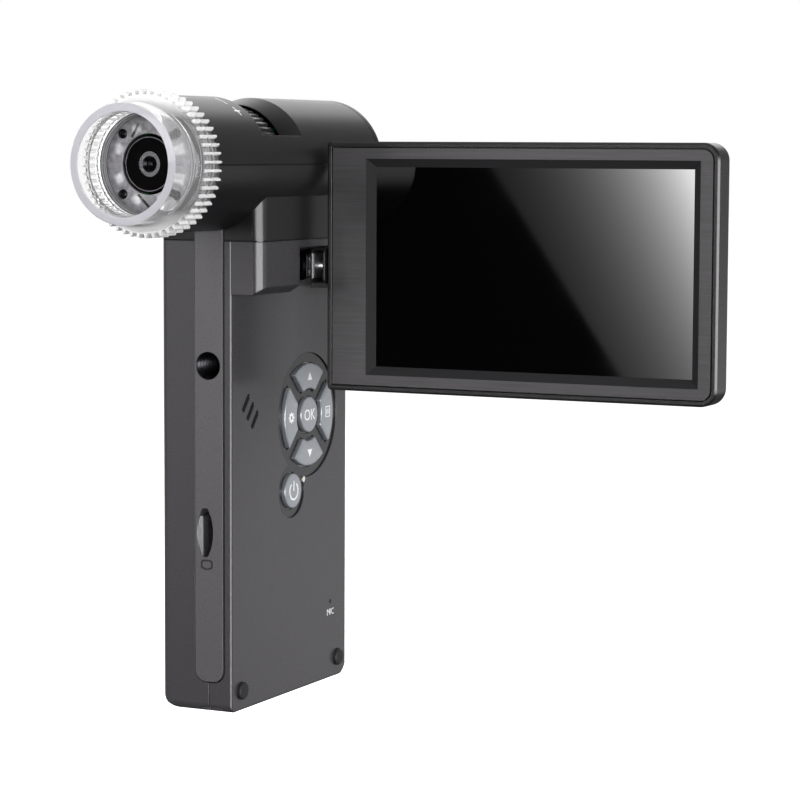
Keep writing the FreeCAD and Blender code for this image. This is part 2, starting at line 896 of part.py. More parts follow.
def lamp_board():
    front = plate_front() + plate_thickness + lamp_height
    back = front + lamp_board_thickness
    return barrel_rod(lamp_bore_radius, front, back).cut(
        barrel_rod(plate_hole_radius, front, back))


def lamps():
    """Small square lamps on a ring, each turned to face the axis."""
    front = plate_front() + plate_thickness
    half = lamp_size / 2
    turn = 360 / lamp_count
    found = []
    for i in range(lamp_count):
        lamp = box((-half, half), (front, front + lamp_height), (-half, half))
        lamp.rotate(V(0, 0, 0), Y_AXIS, turn * (i + 0.5))
        lamp.translate(barrel_point(lamp_circle, turn * (i + 0.5), 0))
        found.append(lamp)
    return Part.makeCompound(found)


def plate_screws():
    front = plate_front()
    back = front + plate_thickness
    heads = plate_screw_holes(plate_screw_head, front - plate_screw_head_height, front)
    shanks = plate_screw_holes(plate_screw_shank, front, back)
    return Part.makeCompound([a.fuse(b) for a, b in zip(heads, shanks)])


def toothed_ring(front, back):
    """One row of blunt teeth round the clear cap."""
    pitch = 2 * math.pi / cap_teeth
    tip = cap_ring_radius + cap_tooth_height
    points = []
    for i in range(cap_teeth):
        for share, radius in ((0.0, cap_ring_radius), (0.45, cap_ring_radius), (0.62, tip),
                              (0.83, tip)):
            a = (i + share) * pitch
            points.append(V(barrel_x + radius * math.sin(a), front,
                            barrel_z + radius * math.cos(a)))
    return Part.Face(Part.makePolygon(points + points[:1])).extrude(Y_AXIS * (back - front))


def nose_cap():
    """The clear distance cap, which pulls off forwards."""
    front = -barrel_front - cap_length
    back = -barrel_front - cap_gap
    ring_front = back - cap_ring_length
    shoulder = -barrel_front - spigot_length - cap_seat_gap
    skirt = spigot_radius + slide_clearance
    ring = cap_ring_radius - cap_ring_sink
    body = turned([(front, cap_bore_radius), (front, cap_rim_radius - cap_rim_edge),
                   (front + cap_rim_edge, cap_rim_radius),
                   (ring_front - cap_shoulder_length, cap_rim_radius),
                   (ring_front - cap_shoulder_length + cap_shoulder_run, ring), (back, ring),
                   (back, skirt), (shoulder, skirt), (shoulder, cap_bore_radius)])
    row = (cap_ring_length - cap_tooth_gap) / 2
    hollow = barrel_rod(ring - cap_ring_sink, ring_front - 1, back + 1)
    rows = toothed_ring(ring_front, ring_front + row).fuse(toothed_ring(back - row, back))
    return body.fuse(rows.cut(hollow)).removeSplitter()


def hinge_axis_rod(radius, low, high):
    return rod(radius, V(fold_x, low, hinge_z), Y_AXIS, high - low)


def swivel_rod(radius, low, high):
    return rod(radius, V(low, screen_mid_y, hinge_z), X_AXIS, high - low)


def ear_bands():
    """The two ears' places along the fold axis."""
    inner = knuckle_width / 2 + ear_gap
    return [(screen_mid_y - inner - ear_thickness, screen_mid_y - inner),
            (screen_mid_y + inner, screen_mid_y + inner + ear_thickness)]


def hinge_bracket():
    low, high = ear_bands()[0][0], ear_bands()[1][1]
    bracket = box((grip_right, grip_right + bracket_base), (low, high),
                  (hinge_z - ear_half_height, hinge_z + ear_half_height))
    for start, stop in ear_bands():
        ear = plate_y(rectangle((grip_right, fold_x + ear_reach),
                                (hinge_z - ear_half_height, hinge_z + ear_half_height),
                                (0, ear_corner, ear_corner, 0)), start, stop)
        bracket = bracket.fuse(ear)
    return bracket.cut(hinge_axis_rod(pin_radius, low - 1, high + 1)).removeSplitter()


def fold_pin():
    low, high = ear_bands()[0][0], ear_bands()[1][1]
    pin = hinge_axis_rod(pin_radius, low - pin_head, high + pin_head)
    for start in (low - pin_head, high):
        pin = pin.fuse(hinge_axis_rod(pin_head_radius, start, start + pin_head))
    return pin


def cover_end():
    return screen_left - cover_end_gap


def hinge_leaf():
    """The upright steel plate that the swivel shaft turns through."""
    half = knuckle_width / 2
    start = fold_x + cover_start + cover_wall
    return box((start, start + hinge_plate_thickness),
               (screen_mid_y - half + hinge_plate_setback, screen_mid_y + half - cover_wall),
               (hinge_z - hinge_plate_half_height, hinge_z + hinge_plate_half_height))


def arm_block():
    """The bar from the knuckle to the upright plate."""
    half = arm_width / 2
    return box((fold_x, fold_x + cover_start + cover_wall + EPS),
               (screen_mid_y - half, screen_mid_y + half),
               (hinge_z - arm_half_height, hinge_z + arm_half_height))


def hinge_arm():
    """The steel knuckle on the fold pin with the plate that holds the swivel shaft."""
    low, high = screen_mid_y - knuckle_width / 2, screen_mid_y + knuckle_width / 2
    arm = hinge_axis_rod(knuckle_radius, low, high).fuse(arm_block()).fuse(hinge_leaf())
    arm = arm.cut(hinge_axis_rod(pin_radius + slide_clearance, low - 1, high + 1))
    start = fold_x + knuckle_radius
    return arm.cut(swivel_rod(swivel_radius, start, cover_end())).removeSplitter()


def hinge_cover():
    """The plastic sleeve over the arm, open towards the front, from housing to screen."""
    start = fold_x + cover_start
    half = knuckle_width / 2
    low, high = hinge_z - cover_half_height, hinge_z + cover_half_height
    sleeve = plate_x(rectangle((screen_mid_y - half, screen_mid_y + half), (low, high),
                               (cover_corner,) * 4), start, cover_end())
    hollow = box((start + cover_wall, cover_end() - cover_wall),
                 (screen_mid_y - half - 1, screen_mid_y + half - cover_wall),
                 (low + cover_wall, high - cover_wall))
    shaft = swivel_rod(swivel_radius, start, cover_end() + 1)
    return sleeve.cut(hollow).cut(arm_block()).cut(shaft)


def swivel_shaft():
    """The shaft with its spring washers on the arm's side and its collar in the screen."""
    collar = bush_span()[1] + swivel_end_play
    end = collar + swivel_collar
    shaft = swivel_rod(swivel_radius, fold_x + knuckle_radius, end)
    shaft = shaft.fuse(swivel_rod(washer_radius, washer_start, washer_start + washer_thickness))
    return shaft.fuse(swivel_rod(swivel_collar_radius, collar, end))


def screen_prism(inset, front, back):
    """The screen's outline, drawn in, between two depths behind its front."""
    mid = screen_mid_y - screen_thickness / 2
    low, high = hinge_z - screen_height / 2, hinge_z + screen_height / 2
    near = max(screen_inner_radius - inset, 0.0)
    far = max(screen_outer_radius - inset, screen_inner_radius)
    corners = rectangle((screen_left + inset, screen_left + screen_width - inset),
                        (low + inset, high - inset), (near, far, far, near))
    return plate_y(corners, mid + front, mid + back)


def bush_span():
    start = screen_left + rim_width
    return start, start + bush_length


def screen_back():
    """The rear tray whose rim runs round the front frame."""
    tray = screen_prism(0, 0, screen_thickness)
    back = screen_mid_y + screen_thickness / 2
    front = screen_mid_y - screen_thickness / 2
    rear = [e for e in tray.Edges if e.BoundBox.YMin > back - EPS]
    tray = tray.makeFillet(screen_back_edge, rear)
    face = [e for e in tray.Edges if e.BoundBox.YMax < front + EPS]
    tray = tray.makeChamfer(rim_round, face)
    tray = tray.cut(screen_prism(rim_width, -1, frame_thickness))
    tray = tray.cut(screen_prism(rim_width + frame_ledge, 0, screen_thickness - screen_floor))
    start, stop = bush_span()
    block = box((screen_left + rim_width, stop), (front + frame_thickness, back - bush_wall),
                (hinge_z - bush_radius - bush_wall, hinge_z + bush_radius + bush_wall))
    tray = tray.fuse(block)
    tray = tray.cut(swivel_rod(bush_radius, start, stop + 1))
    return tray.cut(swivel_rod(swivel_radius + shaft_clearance, screen_left - 1,
                               start)).removeSplitter()


def swivel_bush():
    start, stop = bush_span()
    return swivel_rod(bush_radius, start, stop).cut(
        swivel_rod(swivel_radius + slide_clearance, start, stop))


def lcd_box(grow, front, back):
    mid = screen_mid_y - screen_thickness / 2
    low = hinge_z - lcd_height / 2
    return box((lcd_left - grow, lcd_left + lcd_width + grow), (mid + front, mid + back),
               (low - grow, low + lcd_height + grow))


def screen_frame():
    """The brushed front frame, bevelled down to the glass."""
    plate = screen_prism(rim_width + rim_gap, 0, frame_thickness)
    mid = screen_mid_y - screen_thickness / 2
    low = hinge_z - lcd_height / 2
    high = low + lcd_height

    def loop(grow, depth):
        place = mid + depth
        left, right = lcd_left - grow, lcd_left + lcd_width + grow
        return Part.makePolygon([V(left, place, low - grow), V(right, place, low - grow),
                                 V(right, place, high + grow), V(left, place, high + grow),
                                 V(left, place, low - grow)])

    extra = EPS * bevel_width / frame_thickness
    window = Part.makeLoft([loop(bevel_width + extra, -EPS),
                            loop(-extra, frame_thickness + EPS)], True, True)
    return plate.cut(window)


def lcd_glass():
    return lcd_box(glass_margin, frame_thickness, frame_thickness + glass_thickness)


def lcd_panel():
    front = frame_thickness + glass_thickness
    return lcd_box(glass_margin, front, front + lcd_module_thickness)


def screen_board():
    front = frame_thickness + glass_thickness + lcd_module_thickness
    return lcd_box(-screen_board_inset, front, screen_thickness - screen_floor)


def main_board():
    board = box((board_x, board_face),
                (spine_wall + socket_length, grip_depth - wall - board_margin),
                (-board_bottom, board_top))
    for y, z in case_screw_places():
        board = board.cut(side_rod(post_radius + board_clearance, y, z, 0, wall_inside))
    half = card_width / 2 + board_card_margin
    return board.cut(box((0, grip_right), (0, spine_wall + card_depth + board_card_margin),
                         (-slot_below - half, -slot_below + half)))


def battery():
    left = -grip_left + wall
    front = spine_wall + card_depth + battery_play
    back = grip_depth - screw_inset - post_radius - battery_play
    return plate_z(rectangle((left, left + battery_thickness), (front, back),
                             (battery_corner,) * 4),
                   battery_z - battery_height / 2, battery_z + battery_height / 2)


def card_socket():
    """A folded sheet-metal cage behind the slot, open towards the front."""
    half = card_width / 2 + sheet
    left = slot_centre_x - card_gap / 2 - sheet
    right = slot_centre_x + card_gap / 2 + sheet
    front, back = spine_wall, spine_wall + card_depth
    cage = box((left, right), (front, back), (-slot_below - half, -slot_below + half))
    inside = box((left + sheet, right - sheet), (front - EPS, back - sheet),
                 (-slot_below - half + sheet, -slot_below + half - sheet))
    return cage.cut(inside)


def speaker():
    return side_rod(speaker_radius, speaker_y, speaker_z, board_face + speaker_lift,
                    wall_inside)


def microphone():
    return side_rod(mic_radius, mic_y, mic_z, wall_inside - mic_height, wall_inside)


PIECES = {
    "left_shell": left_shell,
    "right_shell": right_shell,
    "front_strip": front_strip,
    "tripod_insert": tripod_insert,
    "barrel_base": barrel_base,
    "barrel_top": barrel_top,
    "rear_cap": rear_cap,
    "focus_wheel": focus_wheel,
    "lens_guide": lens_guide,
    "lens_barrel": lens_barrel,
    "lens_ring": lens_ring,
    "lens_glass": lens_glass,
    "sensor_board": sensor_board,
    "lamp_housing": lamp_housing,
    "lamp_plate": lamp_plate,
    "lamp_board": lamp_board,
    "lamps": lamps,
    "plate_screws": plate_screws,
    "nose_cap": nose_cap,
    "hinge_bracket": hinge_bracket,
    "fold_pin": fold_pin,
    "hinge_arm": hinge_arm,
    "hinge_cover": hinge_cover,
    "swivel_shaft": swivel_shaft,
    "swivel_bush": swivel_bush,
    "screen_back": screen_back,
    "screen_frame": screen_frame,
    "lcd_glass": lcd_glass,
    "lcd_panel": lcd_panel,
    "screen_board": screen_board,
    "keypad_frame": keypad_frame,
    "key_switches": key_switches,
    "status_light": status_light,
    "bumper_feet": bumper_feet,
    "case_screws": case_screws,
    "main_board": main_board,
    "battery": battery,
    "card_socket": card_socket,
    "speaker": speaker,
    "microphone": microphone,
    "usb_socket": usb_socket,
}
for key_name in KEYS:
    PIECES[key_name + "_button"] = lambda chosen=key_name: key(chosen)

os.makedirs("parts", exist_ok=True)
for node, make in PIECES.items():
    solid = make()
    solid.exportStep("parts/" + node + ".step")
    print(node, len(solid.Solids), round(solid.Volume, 1), solid.isValid())
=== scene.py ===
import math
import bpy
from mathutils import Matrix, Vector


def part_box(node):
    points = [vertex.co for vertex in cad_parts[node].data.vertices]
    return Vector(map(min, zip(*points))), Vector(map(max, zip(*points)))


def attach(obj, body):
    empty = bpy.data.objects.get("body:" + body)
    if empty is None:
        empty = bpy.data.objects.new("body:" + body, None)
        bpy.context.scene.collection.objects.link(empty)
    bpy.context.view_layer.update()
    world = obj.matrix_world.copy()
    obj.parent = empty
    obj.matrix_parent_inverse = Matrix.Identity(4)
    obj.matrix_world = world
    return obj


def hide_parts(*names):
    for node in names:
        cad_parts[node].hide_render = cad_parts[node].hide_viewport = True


bl_info = {
    "name": "Screen Microscope",
    "version": (1, 0, 0),
    "blender": (4, 5, 0),
    "location": "View3D > Sidebar > Microscope",
    "description": "Dresses the hand-held microscope with its finishes, fine parts and studio",
    "category": "Object",
}

import bmesh
import bpy
import numpy as np
from bpy.props import FloatProperty, FloatVectorProperty, IntProperty, PointerProperty
from mathutils import Matrix, Vector

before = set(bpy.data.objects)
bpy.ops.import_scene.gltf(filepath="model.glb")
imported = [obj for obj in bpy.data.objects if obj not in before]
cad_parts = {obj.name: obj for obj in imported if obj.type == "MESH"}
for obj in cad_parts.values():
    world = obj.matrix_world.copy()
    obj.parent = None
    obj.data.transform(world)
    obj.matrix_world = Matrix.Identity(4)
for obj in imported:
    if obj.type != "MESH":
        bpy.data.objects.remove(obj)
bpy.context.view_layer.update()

# Sizes below are in millimetres in the CAD frame: X to the user's right, Y back along the
# barrel, Z up. MM turns them to metres where a mesh is made.
MM = 0.001


def span(node):
    """A CAD node's lowest and highest corner in millimetres."""
    low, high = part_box(node)
    return np.array(low) / MM, np.array(high) / MM


GRIP_LOW = np.minimum(span("left_shell")[0], 0)
WIDE_FACE = span("keypad_frame")[1][0]      # front of the keypad's frame
FACE_X = WIDE_FACE + 0.35                   # the grip's right wide face around it
CAP_LOW, CAP_HIGH = span("nose_cap")
REAR_LOW, REAR_HIGH = span("rear_cap")
AXIS_X = (REAR_LOW[0] + REAR_HIGH[0]) / 2
AXIS_Z = (REAR_LOW[2] + REAR_HIGH[2]) / 2
BARREL_RADIUS = (REAR_HIGH[0] - REAR_LOW[0]) / 2
WHEEL_LOW, WHEEL_HIGH = span("focus_wheel")
WHEEL_RADIUS = (WHEEL_HIGH[2] - WHEEL_LOW[2]) / 2
PLATE_FRONT = span("lamp_plate")[0][1]
INSERT_LOW, INSERT_HIGH = span("tripod_insert")
STRIP_LOW, STRIP_HIGH = span("front_strip")
LAMP_COUNT = 8
LAMP_CIRCLE = 8.1                           # radius on which the lamps sit
FOCUS_MINUS_ANGLE = 22.0                    # degrees from the barrel's top
FOCUS_PLUS_ANGLE = 38.7
FOCUS_MARK_Y = -4.6
CARD_SIGN_Z = -45.2


# colours and nodes

def linear(code):
    """An sRGB hex colour as linear RGBA."""
    parts = [int(code[i:i + 2], 16) / 255 for i in (1, 3, 5)]
    return tuple(c / 12.92 if c <= 0.04045 else ((c + 0.055) / 1.055) ** 2.4 for c in parts) + (1,)


def add(tree, kind, inputs=(), **settings):
    """Adds a shader node, with its operation as in "Math.ADD" and its settings. Each input,
    named, numbered or in order, takes a value, an output or another node's first output."""
    kind, _, operation = kind.partition(".")
    node = tree.nodes.new("ShaderNode" + kind)
    if operation:
        node.operation = operation
    for name, value in settings.items():
        setattr(node, name, value)
    for socket, value in inputs.items() if isinstance(inputs, dict) else enumerate(inputs):
        if isinstance(value, bpy.types.Node):
            value = value.outputs[0]
        if isinstance(value, bpy.types.NodeSocket):
            tree.links.new(value, node.inputs[socket])
        else:
            node.inputs[socket].default_value = value
    return node


def chosen(name):
    """A colour that the user can change, as linear RGBA."""
    return tuple(getattr(bpy.context.scene.microscope_colours, name)) + (1,)


def shade(colour, share):
    """A colour made darker or lighter by a share."""
    return tuple(min(c * share, 1) for c in colour[:3]) + (1,)


def empty_material(name):
    material = bpy.data.materials.new(name)
    material.use_nodes = True
    tree = material.node_tree
    tree.nodes.clear()
    return material, tree


def begun(name):
    """A new material, its empty tree and the place on the object as a socket in it."""
    material, tree = empty_material(name)
    return material, tree, add(tree, "TexCoord").outputs["Object"]


def closed(material, shader):
    """The material with a shader on its output."""
    add(material.node_tree, "OutputMaterial", {"Surface": shader})
    return material


def moulded(name, colour, roughness, grain=0.35, relief=0.012, edge=0.0, mottle=0.06,
            specular=0.5):
    """A moulded plastic: an even colour with a slight mottle, and the mould's fine grain.

    grain is the texture's size and relief its depth, edge the softened edges' radius, all in
    millimetres; mottle is the share by which the colour drifts over a few centimetres.
    """
    material, tree, place = begun(name)
    fine = add(tree, "TexNoise", {"Vector": place, "Scale": 1 / (grain * MM), "Detail": 2.0,
                                  "Roughness": 0.6})
    drift = add(tree, "TexNoise", {"Vector": place, "Scale": 38.0, "Detail": 3.0})
    base = linear(colour) if isinstance(colour, str) else colour
    tone = add(tree, "Mix", {0: drift, 6: shade(base, 1 - mottle), 7: shade(base, 1 + mottle)},
               data_type="RGBA")
    sheen = add(tree, "MapRange", (fine, 0.3, 0.7, roughness - 0.04, roughness + 0.04))
    bump = {"Height": fine.outputs[0], "Distance": relief * MM, "Strength": 1.0}
    if edge > 0:
        soft = add(tree, "Bevel", {"Radius": edge * MM}, samples=4)
        bump["Normal"] = soft.outputs[0]
    bump = add(tree, "Bump", bump)
    shader = add(tree, "BsdfPrincipled", {"Base Color": tone.outputs[2], "Roughness": sheen,
                                          "Normal": bump, "Specular IOR Level": specular,
                                          "IOR": 1.5})
    return closed(material, shader)


def abs_shell():
    # Moulded ABS with a fine spark-eroded grain: charcoal, satin, with a soft broad sheen.
    return moulded("abs_shell_spark_grain", chosen("shell"), 0.30, grain=0.3, relief=0.006,
                   edge=0.3)


def abs_strip():
    # Moulded ABS trim in a lighter grey, smoother than the shells.
    return moulded("abs_trim_satin", chosen("trim"), 0.30, grain=0.3, relief=0.004, edge=0.18)


def radius_from_axis(tree):
    """The distance from the barrel's axis, as a socket."""
    place = add(tree, "TexCoord").outputs["Object"]
    at = add(tree, "VectorMath.SUBTRACT", (place, (AXIS_X * MM, 0, AXIS_Z * MM)))
    flat = add(tree, "VectorMath.MULTIPLY", (at, (1, 0, 1)))
    length = add(tree, "VectorMath.LENGTH", (flat,))
    return length.outputs["Value"]


def overlaid(material, share, colour):
    """A moulded finish with a second colour mixed over its own by a share from 0 to 1."""
    tree = material.node_tree
    shader = next(n for n in tree.nodes if n.type == "BSDF_PRINCIPLED")
    own = shader.inputs["Base Color"].links[0].from_socket
    tone = add(tree, "Mix", {0: share, 6: own, 7: linear(colour)}, data_type="RGBA")
    tree.links.new(tone.outputs[2], shader.inputs["Base Color"])
    return material


def painted_recess_shade(material):
    """Paints shade into a barrel finish below the outer skin: deeper into recesses it turns black.
    """
    tree = material.node_tree
    deep, skin = 1.6, 0.15
    # painted shade: black mixed in with depth below the skin
    depth = add(tree, "MapRange", (radius_from_axis(tree), (BARREL_RADIUS - deep) * MM,
                                   (BARREL_RADIUS - skin) * MM, 1.0, 0.0))
    return overlaid(material, depth, "#020202")


def cup_rings():
    # Turned and moulded steps inside the lamp cup: grey, black and white rings, drawn as
    # level bands of the distance from the axis less the depth.
    band = 0.55
    material, tree, place = begun("lamp_cup_rings")
    depth = add(tree, "SeparateXYZ", (place,)).outputs["Y"]
    run = add(tree, "Math.SUBTRACT", (radius_from_axis(tree), depth))
    bands = add(tree, "TexNoise", {"W": run, "Scale": 1 / (band * MM), "Detail": 2.0},
                noise_dimensions="1D")
    share = add(tree, "MapRange", (bands, 0.38, 0.62))
    tone = add(tree, "Mix", {0: share, 6: linear("#3a393b"), 7: linear("#b4b3b7")},
               data_type="RGBA")
    shader = add(tree, "BsdfPrincipled", {"Base Color": tone.outputs[2], "Roughness": 0.35})
    return closed(material, shader)


def abs_barrel():
    # Soft-touch black lacquer on ABS: near black, with a wide dull highlight along the top,
    # and painted shade in its recesses.
    return painted_recess_shade(moulded("soft_touch_lacquer", chosen("barrel"), 0.34, grain=0.22,
                               relief=0.005, edge=0.2))


def abs_black():
    # Moulded black ABS, satin, as on the screen's case.
    return moulded("abs_black_satin", chosen("case"), 0.30, grain=0.25, relief=0.004, edge=0.2)


def wheel_nylon():
    # Glass-filled nylon, moulded: black, a little waxy, so the ribs catch bright edges.
    return moulded("nylon_rib_black", chosen("wheel"), 0.22, grain=0.25, relief=0.004)


def lens_black():
    # Black anodised aluminium, fine turned: matt black with a faint sheen, and a painted
    # highlight line close to its edge.
    material = moulded("anodised_black", "#050404", 0.5, grain=0.2, relief=0.004, edge=0.1,
                       specular=0.05)
    tree = material.node_tree
    inset, half_highlight = 0.42, 0.09
    radius = span("lens_barrel")[1][0] - AXIS_X - inset
    # painted highlight: a grey ring a little inside the edge
    line = add(tree, "Math.COMPARE", (radius_from_axis(tree), radius * MM, half_highlight * MM))
    return overlaid(material, line, "#66646a")


def keypad_black():
    # Gloss black-grey ABS bezel under the keys.
    return moulded("abs_keypad_gloss", chosen("keypad"), 0.24, grain=0.5, relief=0.002, edge=0.15)


def rubber():
    # Nitrile rubber, moulded: dull black.
    return moulded("nitrile_rubber", chosen("rubber"), 0.62, grain=0.3, relief=0.010, edge=0.1)


def part_black():
    # Black moulded housings of the small electric parts inside.
    return moulded("part_housing_black", "#0c0c0d", 0.6, specular=0.3)


def acetal():
    # Natural acetal, turned: milky white and slippery.
    return moulded("acetal_natural", "#d9d7cf", 0.3, grain=0.6, relief=0.003)


def battery_film():
    # Silver-grey heat-shrunk film round the cell.
    return moulded("battery_film", "#b7b9bd", 0.35, grain=2.0, relief=0.02)


def key_paint():
    # Silver paint under clear lacquer on moulded keys: fine flakes glitter over grey.
    material, tree, place = begun("silver_lacquered_key")
    flake = add(tree, "TexVoronoi", {"Vector": place, "Scale": 1 / (0.12 * MM)})
    tone = add(tree, "Mix", {0: flake.outputs["Color"], 6: shade(chosen("keys"), 0.78),
                             7: shade(chosen("keys"), 1.24)}, data_type="RGBA")
    bump = add(tree, "Bump", {"Height": flake.outputs["Distance"], "Distance": 0.006 * MM})
    shader = add(tree, "BsdfPrincipled", {"Base Color": tone.outputs[2], "Metallic": 0.35,
                                          "Roughness": 0.34, "Normal": bump, "Coat Weight": 0.4,
                                          "Coat Roughness": 0.12})
    return closed(material, shader)


def white_ink():
    # Pad-printed white ink, a few hundredths thick: flat white with a dull skin.
    return moulded("white_pad_print", chosen("ink"), 0.5, grain=0.3, relief=0.003, mottle=0.02)


def dark_ink():
    # Pad-printed dark grey ink on the trim strip.
    return moulded("dark_pad_print", "#262527", 0.5, grain=0.3, relief=0.003, mottle=0.02)


def metal(name, colour, roughness, line, relief):
    """A drawn or turned metal: tight lines along X of a given width in millimetres."""
    material, tree, place = begun(name)
    along = add(tree, "Mapping", {"Vector": place, "Scale": (0.06, 1.0, 1.0)})
    lines = add(tree, "TexNoise", {"Vector": along, "Scale": 1 / (line * MM), "Detail": 3.0})
    rough = add(tree, "MapRange", (lines, 0.3, 0.7, roughness - 0.07, roughness + 0.07))
    bump = add(tree, "Bump", {"Height": lines, "Distance": relief * MM})
    shader = add(tree, "BsdfPrincipled", {"Base Color": linear(colour), "Metallic": 1.0,
                                          "Roughness": rough, "Normal": bump})
    return closed(material, shader)


def steel():
    # Bright rolled steel sheet, lightly brushed.
    return metal("rolled_steel_bright", "#dcdcde", 0.38, 0.12, 0.003)


def black_steel():
    # Blackened steel: oxide black with a thin metallic edge.
    return metal("oxide_black_steel", "#2c2c2e", 0.34, 0.15, 0.004)


def lens_metal():
    # Satin nickel retaining ring.
    return metal("satin_nickel", "#8b8b8f", 0.3, 0.08, 0.003)


def clear_polycarbonate():
    # Clear moulded polycarbonate, thin enough that it bends the view little, so its IOR is
    # set low. The rim's front face is left frosted and looks lavender grey: its roughness,
    # tint and milkiness follow the distance from the rim along the barrel. The teeth, whose many
    # faces scatter the light, and the wall's top and bottom are made milky as painted light.
    clearness, rim_milk, tooth_painted_light, crown_painted_light = 0.92, 0.68, 0.62, 0.6
    frosted, clear_again = 0.05, 0.3        # behind the front, in millimetres
    root, milky = 1.25, 0.85                # below the teeth's tips
    crown_foot, crown_full = 9.5, 13.5      # above and below the axis
    material, tree, place = begun("polycarbonate_clear")
    axes = add(tree, "SeparateXYZ", (place,))
    front = CAP_LOW[1] * MM
    frost = add(tree, "MapRange", (axes.outputs["Y"], front + frosted * MM,
                                   front + clear_again * MM, 1.0, 0.0))
    tone = add(tree, "Mix", {0: frost, 6: linear("#ffffff"), 7: linear("#c8c7ce")},
               data_type="RGBA")
    rough = add(tree, "MapRange", (frost, 0, 1, 0.02, 0.3))
    tip = (CAP_HIGH[2] - CAP_LOW[2]) / 2
    # painted light: the teeth whiter and less clear towards their tips
    teeth = add(tree, "MapRange", (radius_from_axis(tree), (tip - root) * MM,
                                   (tip - milky) * MM, 0, tooth_painted_light))
    # painted light: the wall whiter and less clear towards its top and bottom
    away = add(tree, "Math.SUBTRACT", (axes.outputs["Z"], AXIS_Z * MM))
    away = add(tree, "Math.ABSOLUTE", (away,))
    crown = add(tree, "MapRange", (away, crown_foot * MM, crown_full * MM, 0, crown_painted_light))
    frost_and_painted_light = add(tree, "Math.MAXIMUM", (teeth, crown))
    rim = add(tree, "Math.MULTIPLY", (frost, rim_milk))
    frost_and_painted_light = add(tree, "Math.MAXIMUM", (rim, frost_and_painted_light))
    clear = add(tree, "Math.SUBTRACT", (clearness, frost_and_painted_light))
    ripple = add(tree, "TexNoise", {"Vector": place, "Scale": 1 / (6 * MM), "Detail": 1.0})
    bump = add(tree, "Bump", {"Height": ripple, "Distance": 0.02 * MM})
    shader = add(tree, "BsdfPrincipled", {"Base Color": tone.outputs[2], "Roughness": rough,
                                          "IOR": 1.16, "Transmission Weight": clear,
                                          "Normal": bump})
    return closed(material, shader)


def frosted_polycarbonate():
    # Frosted polycarbonate over white lamps: grey, with a soft bright spot at each lamp.
    # The spots sit where the angle round the barrel's axis, times the number of lamps, comes
    # round to a full turn, and where the radius is the lamps' circle.
    core, rim, fine, coarse = 0.2, 1.5, 0.3, 1.4
    material, tree, place = begun("polycarbonate_frosted")
    at = add(tree, "VectorMath.SUBTRACT", (place, (AXIS_X * MM, 0, AXIS_Z * MM)))
    axes = add(tree, "SeparateXYZ", (at,))
    angle = add(tree, "Math.ARCTAN2", (axes.outputs["X"], axes.outputs["Z"]))
    turns = add(tree, "Math.MULTIPLY_ADD", (angle, float(LAMP_COUNT), math.pi))
    wave = add(tree, "Math.COSINE", (turns,))
    away = add(tree, "Math.SUBTRACT", (radius_from_axis(tree), LAMP_CIRCLE * MM))
    away = add(tree, "Math.ABSOLUTE", (away,))
    ring = add(tree, "MapRange", (away, core * MM, rim * MM, 1.0, 0.0),
               interpolation_type="SMOOTHSTEP")
    lobe = add(tree, "MapRange", (wave, 0.1, 1.0), interpolation_type="SMOOTHSTEP")
    spot = add(tree, "Math.MULTIPLY", (ring, lobe))
    grain = add(tree, "TexNoise", {"Vector": place, "Scale": 1 / (fine * MM)})
    cloud = add(tree, "TexNoise", {"Vector": place, "Scale": 1 / (coarse * MM), "Detail": 3.0})
    spot = add(tree, "Math.MULTIPLY", (spot, cloud))
    cloudy = add(tree, "MapRange", (cloud, 0.35, 0.65))
    body = add(tree, "Mix", {0: cloudy, 6: linear("#656468"), 7: linear("#8b898d")},
               data_type="RGBA")
    tone = add(tree, "Mix", {0: spot, 6: body.outputs[2], 7: linear("#f2f2f4")}, data_type="RGBA")
    bump = add(tree, "Bump", {"Height": grain, "Distance": 0.01 * MM})
    shader = add(tree, "BsdfPrincipled", {"Base Color": tone.outputs[2], "Roughness": 0.4,
                                          "Normal": bump})
    return closed(material, shader)


def lamp_phosphor():
    # White lamps with a pale yellow phosphor under a clear dome.
    return moulded("lamp_phosphor", "#efe9c9", 0.3, grain=0.3, relief=0.004)


def coated_glass():
    # Dark multi-coated objective glass: black inside, its coating kills most of the gloss.
    material, tree, place = begun("coated_lens_glass")
    dust = add(tree, "TexNoise", {"Vector": place, "Scale": 1 / (0.5 * MM)})
    rough = add(tree, "MapRange", (dust, 0, 1, 0.02, 0.06))
    shader = add(tree, "BsdfPrincipled", {"Base Color": linear("#030304"), "Roughness": rough,
                                          "IOR": 1.62, "Specular IOR Level": 0.3})
    return closed(material, shader)


def display_glass():
    # Float glass bonded over a switched-off panel: deep black and mirror smooth.
    material, tree, place = begun("display_glass_black")
    smear = add(tree, "TexNoise", {"Vector": place, "Scale": 60.0, "Detail": 2.0})
    rough = add(tree, "MapRange", (smear, 0, 1, 0.015, 0.04))
    shader = add(tree, "BsdfPrincipled", {"Base Color": linear("#040405"), "Roughness": rough,
                                          "IOR": 1.45})
    return closed(material, shader)


